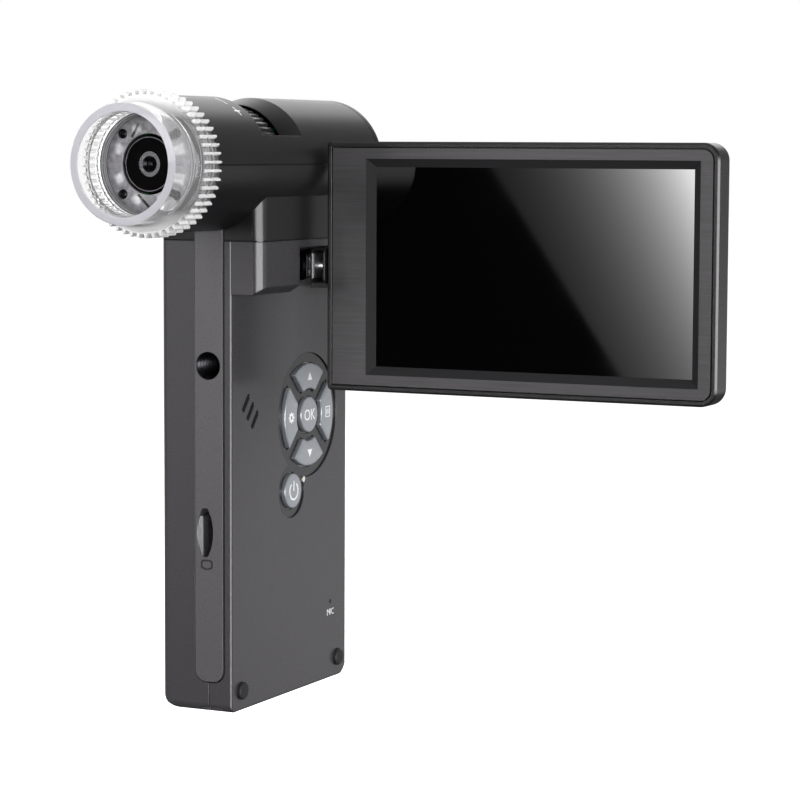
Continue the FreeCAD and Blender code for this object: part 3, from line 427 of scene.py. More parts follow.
def brushed_face():
    # Film with a brushed-metal print on the screen's front frame: fine level streaks over
    # charcoal. The faces that don't face straight ahead, the bevel down to the glass among
    # them, get painted shade: dark and dull, found by the object's normal.
    material, tree = empty_material("brushed_film_charcoal")
    film_colour = chosen("film")
    coords = add(tree, "TexCoord")
    place = coords.outputs["Object"]
    along = add(tree, "Mapping", {"Vector": place, "Scale": (0.02, 1.0, 1.0)})
    lines = add(tree, "TexNoise", {"Vector": along, "Scale": 1 / (0.35 * MM), "Detail": 4.0,
                                   "Roughness": 0.65})
    tone = add(tree, "MapRange", (lines, 0.3, 0.7))
    film = add(tree, "Mix", {0: tone, 6: shade(film_colour, 0.75), 7: shade(film_colour, 1.25)},
               data_type="RGBA")
    facing = add(tree, "SeparateXYZ", (coords.outputs["Normal"],))
    # painted shade: every face not turned straight ahead is dark
    front = add(tree, "Math.LESS_THAN", (facing.outputs["Y"], -0.9))
    colour = add(tree, "Mix", {0: front, 6: linear("#222123"), 7: film.outputs[2]},
                 data_type="RGBA")
    rough = add(tree, "MapRange", (lines, 0.3, 0.7, 0.28, 0.38))
    dull = add(tree, "Mix", {0: front, 2: 0.85, 3: rough})
    bump = add(tree, "Bump", {"Height": lines, "Distance": 0.004 * MM})
    shader = add(tree, "BsdfPrincipled", {"Base Color": colour.outputs[2], "Roughness": dull,
                                          "Normal": bump})
    return closed(material, shader)


def circuit_board():
    # Glass-epoxy board with green solder mask, faint copper tracks under it.
    material, tree, place = begun("solder_mask_green")
    tracks = add(tree, "TexBrick", {"Vector": place, "Scale": 1 / (3 * MM),
                                    "Color1": linear("#1f6b3a"), "Color2": linear("#1b5f34"),
                                    "Mortar": linear("#2f8a52"), "Mortar Size": 0.03})
    shader = add(tree, "BsdfPrincipled", {"Base Color": tracks, "Roughness": 0.35})
    return closed(material, shader)


made_finishes = {}


def finish(maker):
    """The material that a function makes, made once."""
    if maker not in made_finishes:
        made_finishes[maker] = maker()
    return made_finishes[maker]


def dress(maker, *nodes):
    """Gives CAD nodes, whose shapes stay as they are, their finish."""
    for node in nodes:
        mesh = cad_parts[node].data
        mesh.materials.clear()
        mesh.materials.append(finish(maker))


# meshes

def sheet_faces(rows, columns, wrap_rows, wrap_columns):
    """Four corners of every cell of a grid, row by row, wrapping round where it closes."""
    r = np.arange(rows if wrap_rows else rows - 1)[:, None]
    c = np.arange(columns if wrap_columns else columns - 1)[None, :]
    r2, c2 = (r + 1) % rows, (c + 1) % columns
    return np.stack([r * columns + c, r * columns + c2, r2 * columns + c2, r2 * columns + c],
                    axis=-1).reshape(-1, 4)


def piece(name, points, faces, maker, body, slot, *replaced, smooth=35.0):
    """A finished mesh piece from points in millimetres: closed, facing out, on its body. Edges
    sharper than smooth, in degrees, stay sharp, and with 0 the piece is flat."""
    mesh = bpy.data.meshes.new(name)
    mesh.from_pydata((np.asarray(points, float).reshape(-1, 3) * MM).tolist(), [],
                     faces if isinstance(faces, list) else faces.tolist())
    work = bmesh.new()
    work.from_mesh(mesh)
    bmesh.ops.remove_doubles(work, verts=work.verts, dist=1e-7)
    if smooth:
        bmesh.ops.dissolve_degenerate(work, edges=work.edges, dist=1e-8)
    bmesh.ops.recalc_face_normals(work, faces=work.faces)
    work.to_mesh(mesh)
    work.free()
    if smooth:
        mesh.shade_smooth()
        mesh.set_sharp_from_angle(angle=math.radians(smooth))
    mesh.materials.append(finish(maker))
    made = bpy.data.objects.new(name, mesh)
    bpy.context.scene.collection.objects.link(made)
    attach(made, body)
    if replaced:
        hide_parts(*replaced)
    return made


def around_axis(y, radius, angle, centre=(AXIS_X, AXIS_Z)):
    """Points round an axis along Y, the barrel's by default: x and z follow the sine and
    cosine of the angle."""
    x = centre[0] + radius * np.sin(angle)
    z = centre[1] + radius * np.cos(angle)
    return np.stack([x, np.broadcast_to(y, x.shape), z], axis=-1)


def capped(sheet):
    """A tube's rows with a closing point at each end: the middle of all its points there."""
    heart = sheet.mean(axis=0, keepdims=True)
    rows = len(sheet)
    return np.concatenate([np.repeat(heart[:, :1], rows, axis=0), sheet,
                           np.repeat(heart[:, -1:], rows, axis=0)], axis=1)


def toothed_angles(count, shares):
    """The angles of a toothed rim's corners and the share of each within its tooth."""
    share = np.tile(np.asarray(shares), count)
    number = np.repeat(np.arange(count), len(shares))
    return (number + share) * (2 * np.pi / count), share


# the tripod socket's thread

def tripod_thread():
    """The threaded insert: a bore whose radius is a rising and falling ramp of height minus
    pitch times turns, closed by a floor behind and by the insert's own stepped outside."""
    sizes = bpy.context.scene.microscope_sizes
    pitch, minor = sizes.thread_pitch / MM, sizes.thread_minor / MM
    thread_depth, neck, neck_length, bore_depth, mouth_play = 0.55, 3.14, 1.2, 8.5, 0.05
    mouth, back = INSERT_LOW[1], INSERT_HIGH[1]
    body = (INSERT_HIGH[2] - INSERT_LOW[2]) / 2
    step, floor = mouth + neck_length, mouth + bore_depth
    columns, rows, steep, flat = 96, 120, 1.3, 0.15
    angle = np.linspace(0, 2 * np.pi, columns, endpoint=False)[None, :]
    deep = np.linspace(mouth, floor, rows)[:, None]
    phase = np.mod((deep - mouth) / pitch - angle / (2 * np.pi), 1.0)
    ridge = 1 - np.abs(2 * phase - 1)
    bore = minor + thread_depth * np.clip(steep * ridge - flat, 0, 1)
    bore = np.maximum(bore, neck - mouth_play - (deep - mouth))

    def rings(y, radius):
        return around_axis(y, radius * np.ones_like(angle), angle, (0, 0))

    outside = [(mouth, neck), (step, neck), (step, body), (back, body), (back, 0.0)]
    profile = [rings(floor, 0.0), rings(deep, bore)[::-1]]
    points = np.concatenate(profile + [rings(y, radius) for y, radius in outside])
    faces = sheet_faces(len(points), columns, False, True)
    piece("tripod_thread", points, faces, black_steel, "grip", "black_steel",
          "tripod_insert", smooth=28)


# the focus wheel

def focus_wheel():
    """The ribbed ring: outside it the radius is the root plus the rib's height, which rises
    and falls as a flattened wave of the angle and fades out over a short bevel at each end."""
    sizes = bpy.context.scene.microscope_sizes
    front, back = WHEEL_LOW[1], WHEEL_HIGH[1]
    depth, bore = sizes.rib_depth / MM, sizes.wheel_bore / MM
    root = WHEEL_RADIUS - depth
    swing, lead, blunt, corners = 0.95, 0.22, 0.7, 10
    angle, share = toothed_angles(sizes.rib_count, np.arange(corners) / corners)
    wave = np.clip(0.5 + swing * np.sin(2 * np.pi * (share - lead)), 0, 1)
    rib = (wave ** blunt)[None, :]
    angle = angle[None, :]
    bevel, sunk = 0.6, 0.3
    ends = np.array([0.0, 0.15, 0.35, bevel]) / bevel
    outer_y = np.concatenate([front + ends * bevel, [(front + back) / 2],
                              back - ends[::-1] * bevel])
    rise = np.clip(np.concatenate([ends, [1.0], ends[::-1]]), 0, 1)
    rise = np.sqrt(1 - (1 - rise) ** 2)[:, None]
    outer = around_axis(outer_y[:, None], root - sunk + (sunk + depth * rib) * rise, angle)
    inner = around_axis(np.array([[back], [front]]), bore * np.ones((2, angle.size)), angle)
    points = np.concatenate([outer, inner])
    faces = sheet_faces(len(points), angle.size, True, True)
    piece("focus_wheel_ribs", points, faces, wheel_nylon, "wheel", "wheel_plastic",
          "focus_wheel", smooth=40)


# the clear cap

def nose_cap():
    """The distance cap: one profile of height along the axis and radius carried round, where
    in the two rows the radius also rises by the tooth's height, a blunt wave of the angle."""
    sizes = bpy.context.scene.microscope_sizes
    front, back = CAP_LOW[1], CAP_HIGH[1]
    inset, rows, gap = 0.3, 6.2, 0.8
    tip = (CAP_HIGH[2] - CAP_LOW[2]) / 2 - inset
    tooth = sizes.tooth_height / MM
    crest = tip - tooth
    ring = crest - inset
    rim, bore, skirt = BARREL_RADIUS - 1.95, BARREL_RADIUS - 3.75, BARREL_RADIUS - 3.05
    rows_front = back - rows
    row = (rows - gap) / 2
    shoulder = back - 5.45
    chamfer, sheer, slope, edge_share = 0.12, 0.02, 0.35, 0.92
    profile = [
        (front + chamfer, bore, 0), (front, bore + chamfer, 0), (front, rim - 0.25, 0),
        (front + 0.08, rim - 0.08, 0), (front + 0.25, rim, 0), (front + 3.0, rim, 0),
        (rows_front - 2.2, rim + 0.1, 0), (rows_front - 1.4, rim + 0.3, 0),
        (rows_front - 0.8, rim + 0.8, 0)]
    low = rows_front - slope
    for start, end in ((rows_front, rows_front + row), (back - row, back)):
        profile += [(low, ring, 0), (start - sheer, ring, 0), (start, crest, 0.0),
                    (start, crest, edge_share), (start + chamfer, crest, 1.0),
                    (end - chamfer, crest, 1.0), (end, crest, edge_share), (end, crest, 0.0)]
        low = end + sheer
    profile += [(back, skirt, 0), (shoulder, skirt, 0), (shoulder, bore, 0)]
    y, radius, rise = [np.array(column)[:, None] for column in zip(*profile)]
    flank, height = (0.45, 0.5, 0.58, 0.64, 0.81, 0.87, 0.95), (0, 0.12, 0.86, 1, 1, 0.86, 0.12)
    angle, share = toothed_angles(sizes.tooth_count, (0.0, 0.2) + flank)
    wave = np.interp(share, (0,) + flank + (1,), (0,) + height + (0,))
    points = around_axis(y, radius + tooth * rise * wave[None, :], angle[None, :])
    faces = sheet_faces(len(points), angle.size, True, True)
    cap = piece("nose_cap_clear", points, faces, clear_polycarbonate, "cap",
                "clear_plastic", "nose_cap", smooth=32)
    cap.visible_glossy = False


# screws

def cross_screws(name, centres, outward, radius, height, replaced):
    """Screw heads: a low dome over a disc, less a cross whose two arms fade at their ends.
    Each head is the same grid of radius and angle moved to its own centre."""
    columns = 64
    arm_width, arm_length, side_slope, end_slope = 0.20, 0.66, 0.05, 0.08
    rim_lift, crown_lift, cut = 0.35, 0.65, 0.75
    angle = np.linspace(0, 2 * np.pi, columns, endpoint=False)[None, :]
    share = np.concatenate([np.linspace(0, 0.8, 17), [0.88, 0.95, 0.99, 1.0]])[:, None]
    across, up = share * np.cos(angle), share * np.sin(angle)
    dome = np.sqrt(np.clip(1 - share ** 4, 0, 1))

    def arm(along, aside):
        wide = np.clip((arm_width - np.abs(aside)) / side_slope, 0, 1)
        return wide * np.clip((arm_length - np.abs(along)) / end_slope, 0, 1)

    cross = np.maximum(arm(across, up), arm(up, across))
    lift = height * (rim_lift + crown_lift * dome) - cut * height * cross
    top = np.stack([radius * across, radius * up, lift], axis=-1)
    edge = radius * np.array([[1.0], [0.0]])
    under = np.stack([edge * np.cos(angle), edge * np.sin(angle), np.zeros((2, columns))],
                     axis=-1)
    head = np.concatenate([top, under])
    outward = np.asarray(outward, float)
    side = np.cross((0, 0, 1), outward)
    axes = np.stack([side, np.cross(outward, side), outward])
    spots = np.asarray(centres, float)
    points = (head.reshape(-1, 3) @ axes)[None] + spots[:, None, :]
    faces = sheet_faces(len(head), columns, False, True)
    count = head.shape[0] * head.shape[1]
    faces = np.concatenate([faces + i * count for i in range(len(spots))])
    piece(name, points, faces, black_steel, "grip", "black_steel", replaced, smooth=30)


def plate_screws():
    """Four small screws of the lamp plate, at the corners of a square round the axis."""
    low, high = span("plate_screws")
    reach = (high[0] - low[0]) / 2
    radius, height = 1.05, 0.5
    offset = reach - radius
    centres = [(AXIS_X + offset * sx, PLATE_FRONT, AXIS_Z + offset * sz)
               for sx in (-1, 1) for sz in (-1, 1)]
    cross_screws("plate_screw_heads", centres, (0, -1, 0), radius, height, "plate_screws")


def case_screws():
    """Four case screws in their wells on the left face."""
    low, high = span("case_screws")
    radius, height = 1.9, 1.4
    seat = low[0] + height
    centres = [(seat, y, z) for y in (low[1] + radius, high[1] - radius)
               for z in (low[2] + radius, high[2] - radius)]
    cross_screws("case_screw_heads", centres, (-1, 0, 0), radius, height, "case_screws")


# keys

def ring_key_outline(towards, inner, outer, channel, count=288):
    """A quarter-ring key's edge: an outer arc, a straight side at 45 degrees, an inner arc
    and the other side, evenly spaced, with its corners rounded by a short running mean."""
    offset = channel / 2 * math.sqrt(2)
    wide = (-offset + math.sqrt(2 * outer ** 2 - offset ** 2)) / 2
    narrow = (-offset + math.sqrt(2 * inner ** 2 - offset ** 2)) / 2
    far, near = math.atan2(wide, wide + offset), math.atan2(narrow, narrow + offset)
    top = np.linspace(-far, far, 80)
    low = np.linspace(near, -near, 40)
    path = np.concatenate([
        np.stack([outer * np.sin(top), outer * np.cos(top)], axis=1),
        np.stack([inner * np.sin(low), inner * np.cos(low)], axis=1)])
    path = np.concatenate([path, path[:1]])
    run = np.concatenate([[0], np.cumsum(np.hypot(*np.diff(path, axis=0).T))])
    at = np.linspace(0, run[-1], count, endpoint=False)
    even = np.stack([np.interp(at, run, path[:, i]) for i in (0, 1)], axis=1)
    corner = 0.9
    width = max(3, int(round(corner / (run[-1] / count))) | 1)
    smooth = sum(np.roll(even, k, axis=0) for k in range(-(width // 2), width // 2 + 1)) / width
    bend = math.radians(towards)
    return smooth @ np.array([[math.cos(bend), math.sin(bend)],
                              [-math.sin(bend), math.cos(bend)]])


def ring_key_spine(outline, towards, inner, outer):
    """The arc that the top face closes on: halfway out, cut short of both ends."""
    bend = math.radians(towards)
    turn = np.array([[math.cos(bend), -math.sin(bend)], [math.sin(bend), math.cos(bend)]])
    local, reach = outline @ turn, 0.42
    a = np.clip(np.arctan2(local[:, 0], local[:, 1]), -reach, reach)
    middle = (inner + outer) / 2
    return middle * np.stack([np.sin(a), np.cos(a)], axis=1) @ turn.T


def keycap(name, centre, outline, spine):
    """A key: its outline is carried up from the hidden lip, drawn in round the edge by a
    quarter circle, and then shrunk to the spine under a low dome."""
    sizes = bpy.context.scene.microscope_sizes
    node = name + "_button"
    proud = span(node)[1][0]
    round_edge, dome = sizes.key_round / MM, sizes.key_dome / MM
    frame_depth, lip, play = 0.65, 0.6, 0.05
    frame_back = WIDE_FACE - frame_depth
    bottom, step = frame_back - frame_depth, frame_back - play
    ahead, behind = np.roll(outline, -1, axis=0), np.roll(outline, 1, axis=0)
    along = ahead - behind
    along /= np.hypot(*along.T)[:, None]
    outward = np.stack([along[:, 1], -along[:, 0]], axis=1)
    middle = outline.mean(axis=0)
    if np.sum((outline - middle) * outward) < 0:
        outward = -outward
    levels = [(bottom, lip, 1.0), (bottom, lip, 0.0), (step, lip, 0.0), (step, 0.0, 0.0),
              (proud - round_edge, 0.0, 0.0)]
    turns = np.linspace(0, math.pi / 2, 7)[1:]
    levels += [(proud - round_edge * (1 - math.sin(t)), -round_edge * (1 - math.cos(t)), 0.0)
               for t in turns]
    levels += [(proud + dome * (1 - (1 - s) ** 2), -round_edge, s)
               for s in np.linspace(0, 1, 13)[1:]]
    rows = []
    for x, grow, shrink in levels:
        edge = outline + outward * grow
        flat = edge * (1 - shrink) + spine * shrink
        rows.append(np.column_stack([np.full(len(flat), x), flat + centre]))
    points = np.stack(rows)
    faces = sheet_faces(len(points), len(outline), False, True)
    piece(name + "_key_cap", points, faces, key_paint, name + "_key", "key_silver", node,
          smooth=40)


def circle(radius, count=144):
    a = np.linspace(0, 2 * np.pi, count, endpoint=False)
    return radius * np.stack([np.sin(a), np.cos(a)], axis=1)


def key_centre(name):
    low, high = span(name + "_button")
    return (low[1:] + high[1:]) / 2


def keys():
    """Six silver keys: two round ones and four quarters of a ring."""
    sizes = bpy.context.scene.microscope_sizes
    inner, outer, channel = sizes.key_inner / MM, sizes.key_outer / MM, sizes.key_channel / MM
    for name, radius in (("ok", sizes.ok_radius / MM), ("power", sizes.power_radius / MM)):
        edge = circle(radius)
        keycap(name, key_centre(name), edge, np.zeros_like(edge))
    pad = key_centre("ok")
    for name, towards in (("up", 0), ("right", 90), ("down", 180), ("left", 270)):
        edge = ring_key_outline(towards, inner, outer, channel)
        keycap(name, pad, edge, ring_key_spine(edge, towards, inner, outer))


# printed marks

def mark_mesh(curve_data, thickness):
    """A flat filled curve or text made a closed mesh of a given thickness, in millimetres."""
    curve_data.dimensions = "2D"
    curve_data.fill_mode = "BOTH"
    curve_data.extrude = thickness / 2
    maker = bpy.data.objects.new("maker", curve_data)
    bpy.context.scene.collection.objects.link(maker)
    bpy.context.view_layer.update()
    graph = bpy.context.evaluated_depsgraph_get()
    mesh = bpy.data.meshes.new_from_object(maker.evaluated_get(graph))
    points = np.zeros(len(mesh.vertices) * 3)
    mesh.vertices.foreach_get("co", points)
    faces = [list(p.vertices) for p in mesh.polygons]
    bpy.data.objects.remove(maker)
    bpy.data.meshes.remove(mesh)
    return points.reshape(-1, 3), faces


def loops_mark(loops, thickness):
    """A mark filled between closed outlines given in millimetres."""
    data = bpy.data.curves.new("mark", "CURVE")
    for loop in loops:
        spline = data.splines.new("POLY")
        spline.points.add(len(loop) - 1)
        flat = np.column_stack([loop, np.zeros(len(loop)), np.ones(len(loop))])
        spline.points.foreach_set("co", flat.ravel())
        spline.use_cyclic_u = True
    return mark_mesh(data, thickness)


CAPITAL_SHARE = 0.7     # a capital's height as a share of the font's size


def text_mark(words, height, thickness):
    """Plain lettering of a given capital height, centred on its middle."""
    data = bpy.data.curves.new("mark", "FONT")
    data.body = words
    data.size = height / CAPITAL_SHARE
    data.align_x, data.align_y = "CENTER", "CENTER"
    data.resolution_u = 6
    points, faces = mark_mesh(data, thickness)
    middle = (points.min(axis=0) + points.max(axis=0)) / 2
    return points - middle, faces


def print_mark(name, mark, centre, facing, ink, body, slot):
    """Lays a mark on a face: its right and up become the face's own two directions."""
    points, faces = mark
    piece(name, points @ np.array(facing, float) + centre, faces, ink, body, slot, smooth=0)


WIDE = ((0, 1, 0), (0, 0, 1), (1, 0, 0))        # on the grip's right wide face
FRONT = ((1, 0, 0), (0, 0, 1), (0, -1, 0))      # on its front


def triangle(width, height, point_up):
    flip = 1 if point_up else -1
    return [np.array([(-width / 2, -flip * height / 2), (width / 2, -flip * height / 2),
                      (0, flip * height / 2)])]


def gear(radius, teeth=8):
    """A gear wheel: a circle whose radius steps out at each tooth, with a round hole."""
    a = np.linspace(0, 2 * np.pi, teeth * 12, endpoint=False)
    step = np.clip(0.5 + 2.5 * np.cos(teeth * a), 0, 1)
    root, tooth, hole = 0.72, 0.28, 0.34
    rim = radius * (root + tooth * step)
    return [np.stack([rim * np.sin(a), rim * np.cos(a)], axis=1), circle(radius * hole, 36)]


def framed_bars(width, height, line):
    """A frame with three upright bars in it."""
    def rect(x0, x1, y0, y1):
        return np.array([(x0, y0), (x1, y0), (x1, y1), (x0, y1)])
    w, h = width / 2, height / 2
    loops = [rect(-w, w, -h, h), rect(-w + line, w - line, -h + line, h - line)]
    spread, tall = 0.24, 0.5
    for x in (-spread, 0, spread):
        loops.append(rect(x * width - line / 2, x * width + line / 2, -h * tall, h * tall))
    return loops


def power_sign(radius, line, opening=36.0):
    """A ring open at the top with a bar through the opening."""
    gap = math.radians(opening)
    a = np.linspace(gap, 2 * np.pi - gap, 60)
    outer = (radius + line / 2) * np.stack([np.sin(a), np.cos(a)], axis=1)
    inner = (radius - line / 2) * np.stack([np.sin(a), np.cos(a)], axis=1)[::-1]
    top = 1.2 * radius
    bar = np.array([(-line / 2, 0.0), (line / 2, 0.0), (line / 2, top), (-line / 2, top)])
    return [np.concatenate([outer, inner]), bar]


def card_sign(width, height, line):
    """A memory card's outline lying on its side, with a rounded end and two shallow bites."""
    t = np.linspace(0, 2 * np.pi, 96, endpoint=False)
    c, s = np.cos(t), np.sin(t)
    power, bite_depth = 0.55, 0.10
    x = np.sign(c) * np.abs(c) ** power * width / 2
    y = np.sign(s) * np.abs(s) ** power * height / 2
    bite = bite_depth * height * np.maximum(0, -s) * (1 + np.cos(6 * t)) / 2
    edge = np.stack([x, y + bite], axis=1)
    shrink = np.array([1 - 2 * line / width, 1 - 2 * line / height])
    return [edge, (edge * shrink)[::-1]]


def key_marks():
    """White signs on the keys: arrows, a gear, a framed list, OK and the power sign."""
    sizes = bpy.context.scene.microscope_sizes
    thick, sunk = 0.12, 0.03
    top = span("ok_button")[1][0] + sizes.key_dome / MM - sunk
    pad = key_centre("ok")
    middle = (sizes.key_inner + sizes.key_outer) / 2 / MM
    spots = {"up": (0, middle), "down": (0, -middle), "left": (-middle, 0),
             "right": (middle, 0)}
    marks = {
        "up": loops_mark(triangle(2.3, 1.9, True), thick),
        "down": loops_mark(triangle(2.3, 1.9, False), thick),
        "left": loops_mark(gear(1.35), thick),
        "right": loops_mark(framed_bars(2.3, 2.6, 0.22), thick),
        "ok": text_mark("OK", 2.6, thick),
        "power": loops_mark(power_sign(2.0, 0.45), thick),
    }
    for name, mark in marks.items():
        if name in spots:
            y, z = pad + np.array(spots[name])
        else:
            y, z = key_centre(name)
        print_mark(name + "_sign", mark, (top, y, z), WIDE, white_ink, name + "_key",
                   "key_silver")


def grip_marks():
    """The microphone's letters on the wide face and the card sign on the trim strip."""
    thick, below, right, left = 0.06, 2.5, 0.1, 0.55
    y, z = sum(span("microphone"))[1:] / 2 + (right, -below)
    print_mark("mic_letters", text_mark("MIC", 1.5, thick), (FACE_X, y, z), WIDE, white_ink,
               "grip", "shell_plastic")
    x = (STRIP_LOW[0] + STRIP_HIGH[0]) / 2 - left
    print_mark("card_sign", loops_mark(card_sign(3.1, 2.4, 0.42), thick),
               (x, STRIP_LOW[1], CARD_SIGN_Z), FRONT, dark_ink, "grip", "trim_plastic")


def barrel_bar(angle, length, y, width):
    """A short stroke bent round the barrel: two angles and two heights swept between a
    radius just under the surface and one just above it."""
    proud, sunk, steps = 0.03, 0.05, 9
    half = length / BARREL_RADIUS / 2
    a = math.radians(angle) + np.linspace(-half, half, steps)[None, :]
    loop_y = np.array([-1, 1, 1, -1])[:, None] * width / 2 + y
    loop_r = (BARREL_RADIUS + np.array([proud, proud, -sunk, -sunk]))[:, None]
    bar = capped(around_axis(loop_y, loop_r * np.ones_like(a), a))
    return bar, sheet_faces(4, bar.shape[1], True, False)


def focus_marks():
    """The white minus and plus ahead of the finger window."""
    line, ahead = 0.42, 0.4
    strokes = {"focus_minus": [(FOCUS_MINUS_ANGLE, 3.4, FOCUS_MARK_Y - ahead, line)],
               "focus_plus": [(FOCUS_PLUS_ANGLE, 3.0, FOCUS_MARK_Y, line),
                              (FOCUS_PLUS_ANGLE, line, FOCUS_MARK_Y, 2.4)]}
    for name, bars in strokes.items():
        points, faces, start = [], [], 0
        for bar in bars:
            p, f = barrel_bar(*bar)
            points.append(p.reshape(-1, 3))
            faces.append(f + start)
            start += p.size // 3
        piece(name + "_mark", np.concatenate(points), np.concatenate(faces), white_ink,
              "grip", "barrel_plastic", smooth=30)


# the card slot

def card_guide():
    """A bright sheet-metal guide that fills the slot's left part: its left side is a parabola
    of height, its right side straight, swept back into the grip."""
    half, sag, near, play, thin, top = 5.55, 1.45, -1.45, 0.03, 0.02, 3.75
    foot, behind_face, back = 0.1, 0.25, 3.2
    middle = sum(span("card_socket"))[2] / 2
    height = np.linspace(-half + foot, top, 40)[None, :]
    arc = near - sag * (1 - (height / half) ** 2) + play
    right = np.full_like(arc, near + thin)
    front = STRIP_LOW[1] + behind_face
    x = np.concatenate([arc, right, right, arc])
    y = np.array([front, front, back, back])[:, None]
    points = capped(np.stack([x, y * np.ones_like(x), (middle + height) * np.ones_like(x)],
                             axis=-1))
    faces = sheet_faces(4, points.shape[1], True, False)
    piece("card_guide", points, faces, steel, "grip", "steel", smooth=30)


# the stage

CAMERA_PLACE = (307.49, -536.44, 49.26)     # millimetres
CAMERA_YAW = 25.827                         # degrees left of +Y
CAMERA_PITCH = 5.262                        # degrees down
CAMERA_ROLL = 0.252
CAMERA_FOCUS = 2750.3                       # in the photograph's pixels
PHOTO_WIDTH = 800
SENSOR = 36.0                               # millimetres
FLOOR_BELOW = 45.0                          # under the foot: the tripod holds it up
GLARE_EDGE = ((490, 167), (618.5, 377))     # the window's edge mirrored in the display
GLARE_DIM, GLARE_BRIGHT = (520, 200), (674, 133)    # along its growing brightness
GLARE_GROWTH = 46.0                         # from the one to the other
GLARE_SOFT = 0.0012                         # the edge's softness, in radians
# Parts of the room that gloss sees: azimuths from straight ahead towards the right, heights
# and the width of the soft edge, in degrees.
RIGHT_BOX = (13, 90, -20, 12, 8.0)
FRONT_BOX = (-52, -12, -10, 14, 6.0)
DARK_PANE = (-28.2, -18.4, -6.0, 1.2, 0.4)
BACK_BOX = (-192, -112, 0, 42, 8.0)
SIDE_BOX = (138, 166, -15, -2, 3.0)
LEFT_BOX = (-128, -66, -34, 10, 12.0)
CEILING = (48.0, 66.0)                      # heights over which the ceiling brightens
WALL = (-22.0, -2.0)                        # and the wall behind
WALL_FOOT = 0.02                            # the wall's strength below them
WALL_SIDES = (0.1, 0.5)                     # how far behind the object the wall begins
FILL_TURN = (-0.5, 0.4)                     # where the even light changes from below to above
WHITE = (1, 1, 1, 1)


def camera_axes():
    """Right, up and forward of the camera from its yaw, pitch and roll."""
    yaw, pitch, roll = (math.radians(a) for a in (CAMERA_YAW, CAMERA_PITCH, CAMERA_ROLL))
    right = Vector((math.cos(yaw), math.sin(yaw), 0))
    forward = Vector((-math.sin(yaw) * math.cos(pitch), math.cos(yaw) * math.cos(pitch),
                      -math.sin(pitch)))
    up = right.cross(forward)
    c, s = math.cos(roll), math.sin(roll)
    return c * right + s * up, -s * right + c * up, forward


def camera():
    """The photograph's own view."""
    right, up, forward = camera_axes()
    data = bpy.data.cameras.new("camera")
    data.sensor_width = SENSOR
    data.lens = SENSOR * CAMERA_FOCUS / PHOTO_WIDTH
    data.clip_start, data.clip_end = 0.01, 20
    made = bpy.data.objects.new("camera", data)
    bpy.context.scene.collection.objects.link(made)
    turn = Matrix((right, up, -forward)).transposed().to_4x4()
    made.matrix_world = Matrix.Translation(Vector(CAMERA_PLACE) * MM) @ turn
    bpy.context.scene.camera = made


def lamp(name, place, target, size, power):
    """A soft square lamp aimed at a point; places in millimetres, power in watts."""
    data = bpy.data.lights.new(name, "AREA")
    data.shape = "RECTANGLE"
    data.size, data.size_y = size[0] * MM, size[1] * MM
    data.energy = power
    made = bpy.data.objects.new(name, data)
    bpy.context.scene.collection.objects.link(made)
    made.location = Vector(place) * MM
    aim = (Vector(target) - Vector(place)).normalized()
    made.rotation_euler = aim.to_track_quat("-Z", "Y").to_euler()
    return made


def mirrored(pixel):
    """The direction in which the display shows the room at a pixel: the camera's own ray
    with its part along the display's normal turned round."""
    right, up, forward = camera_axes()
    x, y = pixel
    half = PHOTO_WIDTH / 2
    ray = forward + right * ((x - half) / CAMERA_FOCUS) - up * ((y - half) / CAMERA_FOCUS)
    return Vector((ray.x, -ray.y, ray.z)).normalized()


def softbox(tree, azimuth, height, box):
    """How far a direction lies inside a lit rectangle of the room, from 0 to 1: the product of
    four ramps of its azimuth and its height, all in degrees."""
    left, right, bottom, top, soft = box
    level = None
    for value, low, high in ((azimuth, left, right), (height, bottom, top)):
        for edge, inside in ((low, low + soft), (high, high - soft)):
            ramp = add(tree, "MapRange", (value, edge, inside))
            if level is None:
                level = ramp.outputs[0]
            else:
                level = add(tree, "Math.MULTIPLY", (level, ramp)).outputs[0]
    return level


def glare(tree, way):
    """The window mirrored in the display: nothing on one side of its slanting edge, and on
    the other a level that grows by equal factors towards the upper right."""
    one, two = (mirrored(p) for p in GLARE_EDGE)
    across = one.cross(two).normalized()
    if across.dot(mirrored(GLARE_BRIGHT)) < 0:
        across = -across
    side = add(tree, "VectorMath.DOT_PRODUCT", (way, across))
    pane = add(tree, "MapRange", (side.outputs["Value"], 0.0, GLARE_SOFT))
    dim, bright = mirrored(GLARE_DIM), mirrored(GLARE_BRIGHT)
    run = bright - dim
    along = add(tree, "VectorMath.DOT_PRODUCT", (way, run))
    share = add(tree, "MapRange", (along.outputs["Value"], dim.dot(run), bright.dot(run), 0, 1.0))
    growth = add(tree, "Math.POWER", (GLARE_GROWTH, share))
    return add(tree, "Math.MULTIPLY", (pane, growth)).outputs[0]


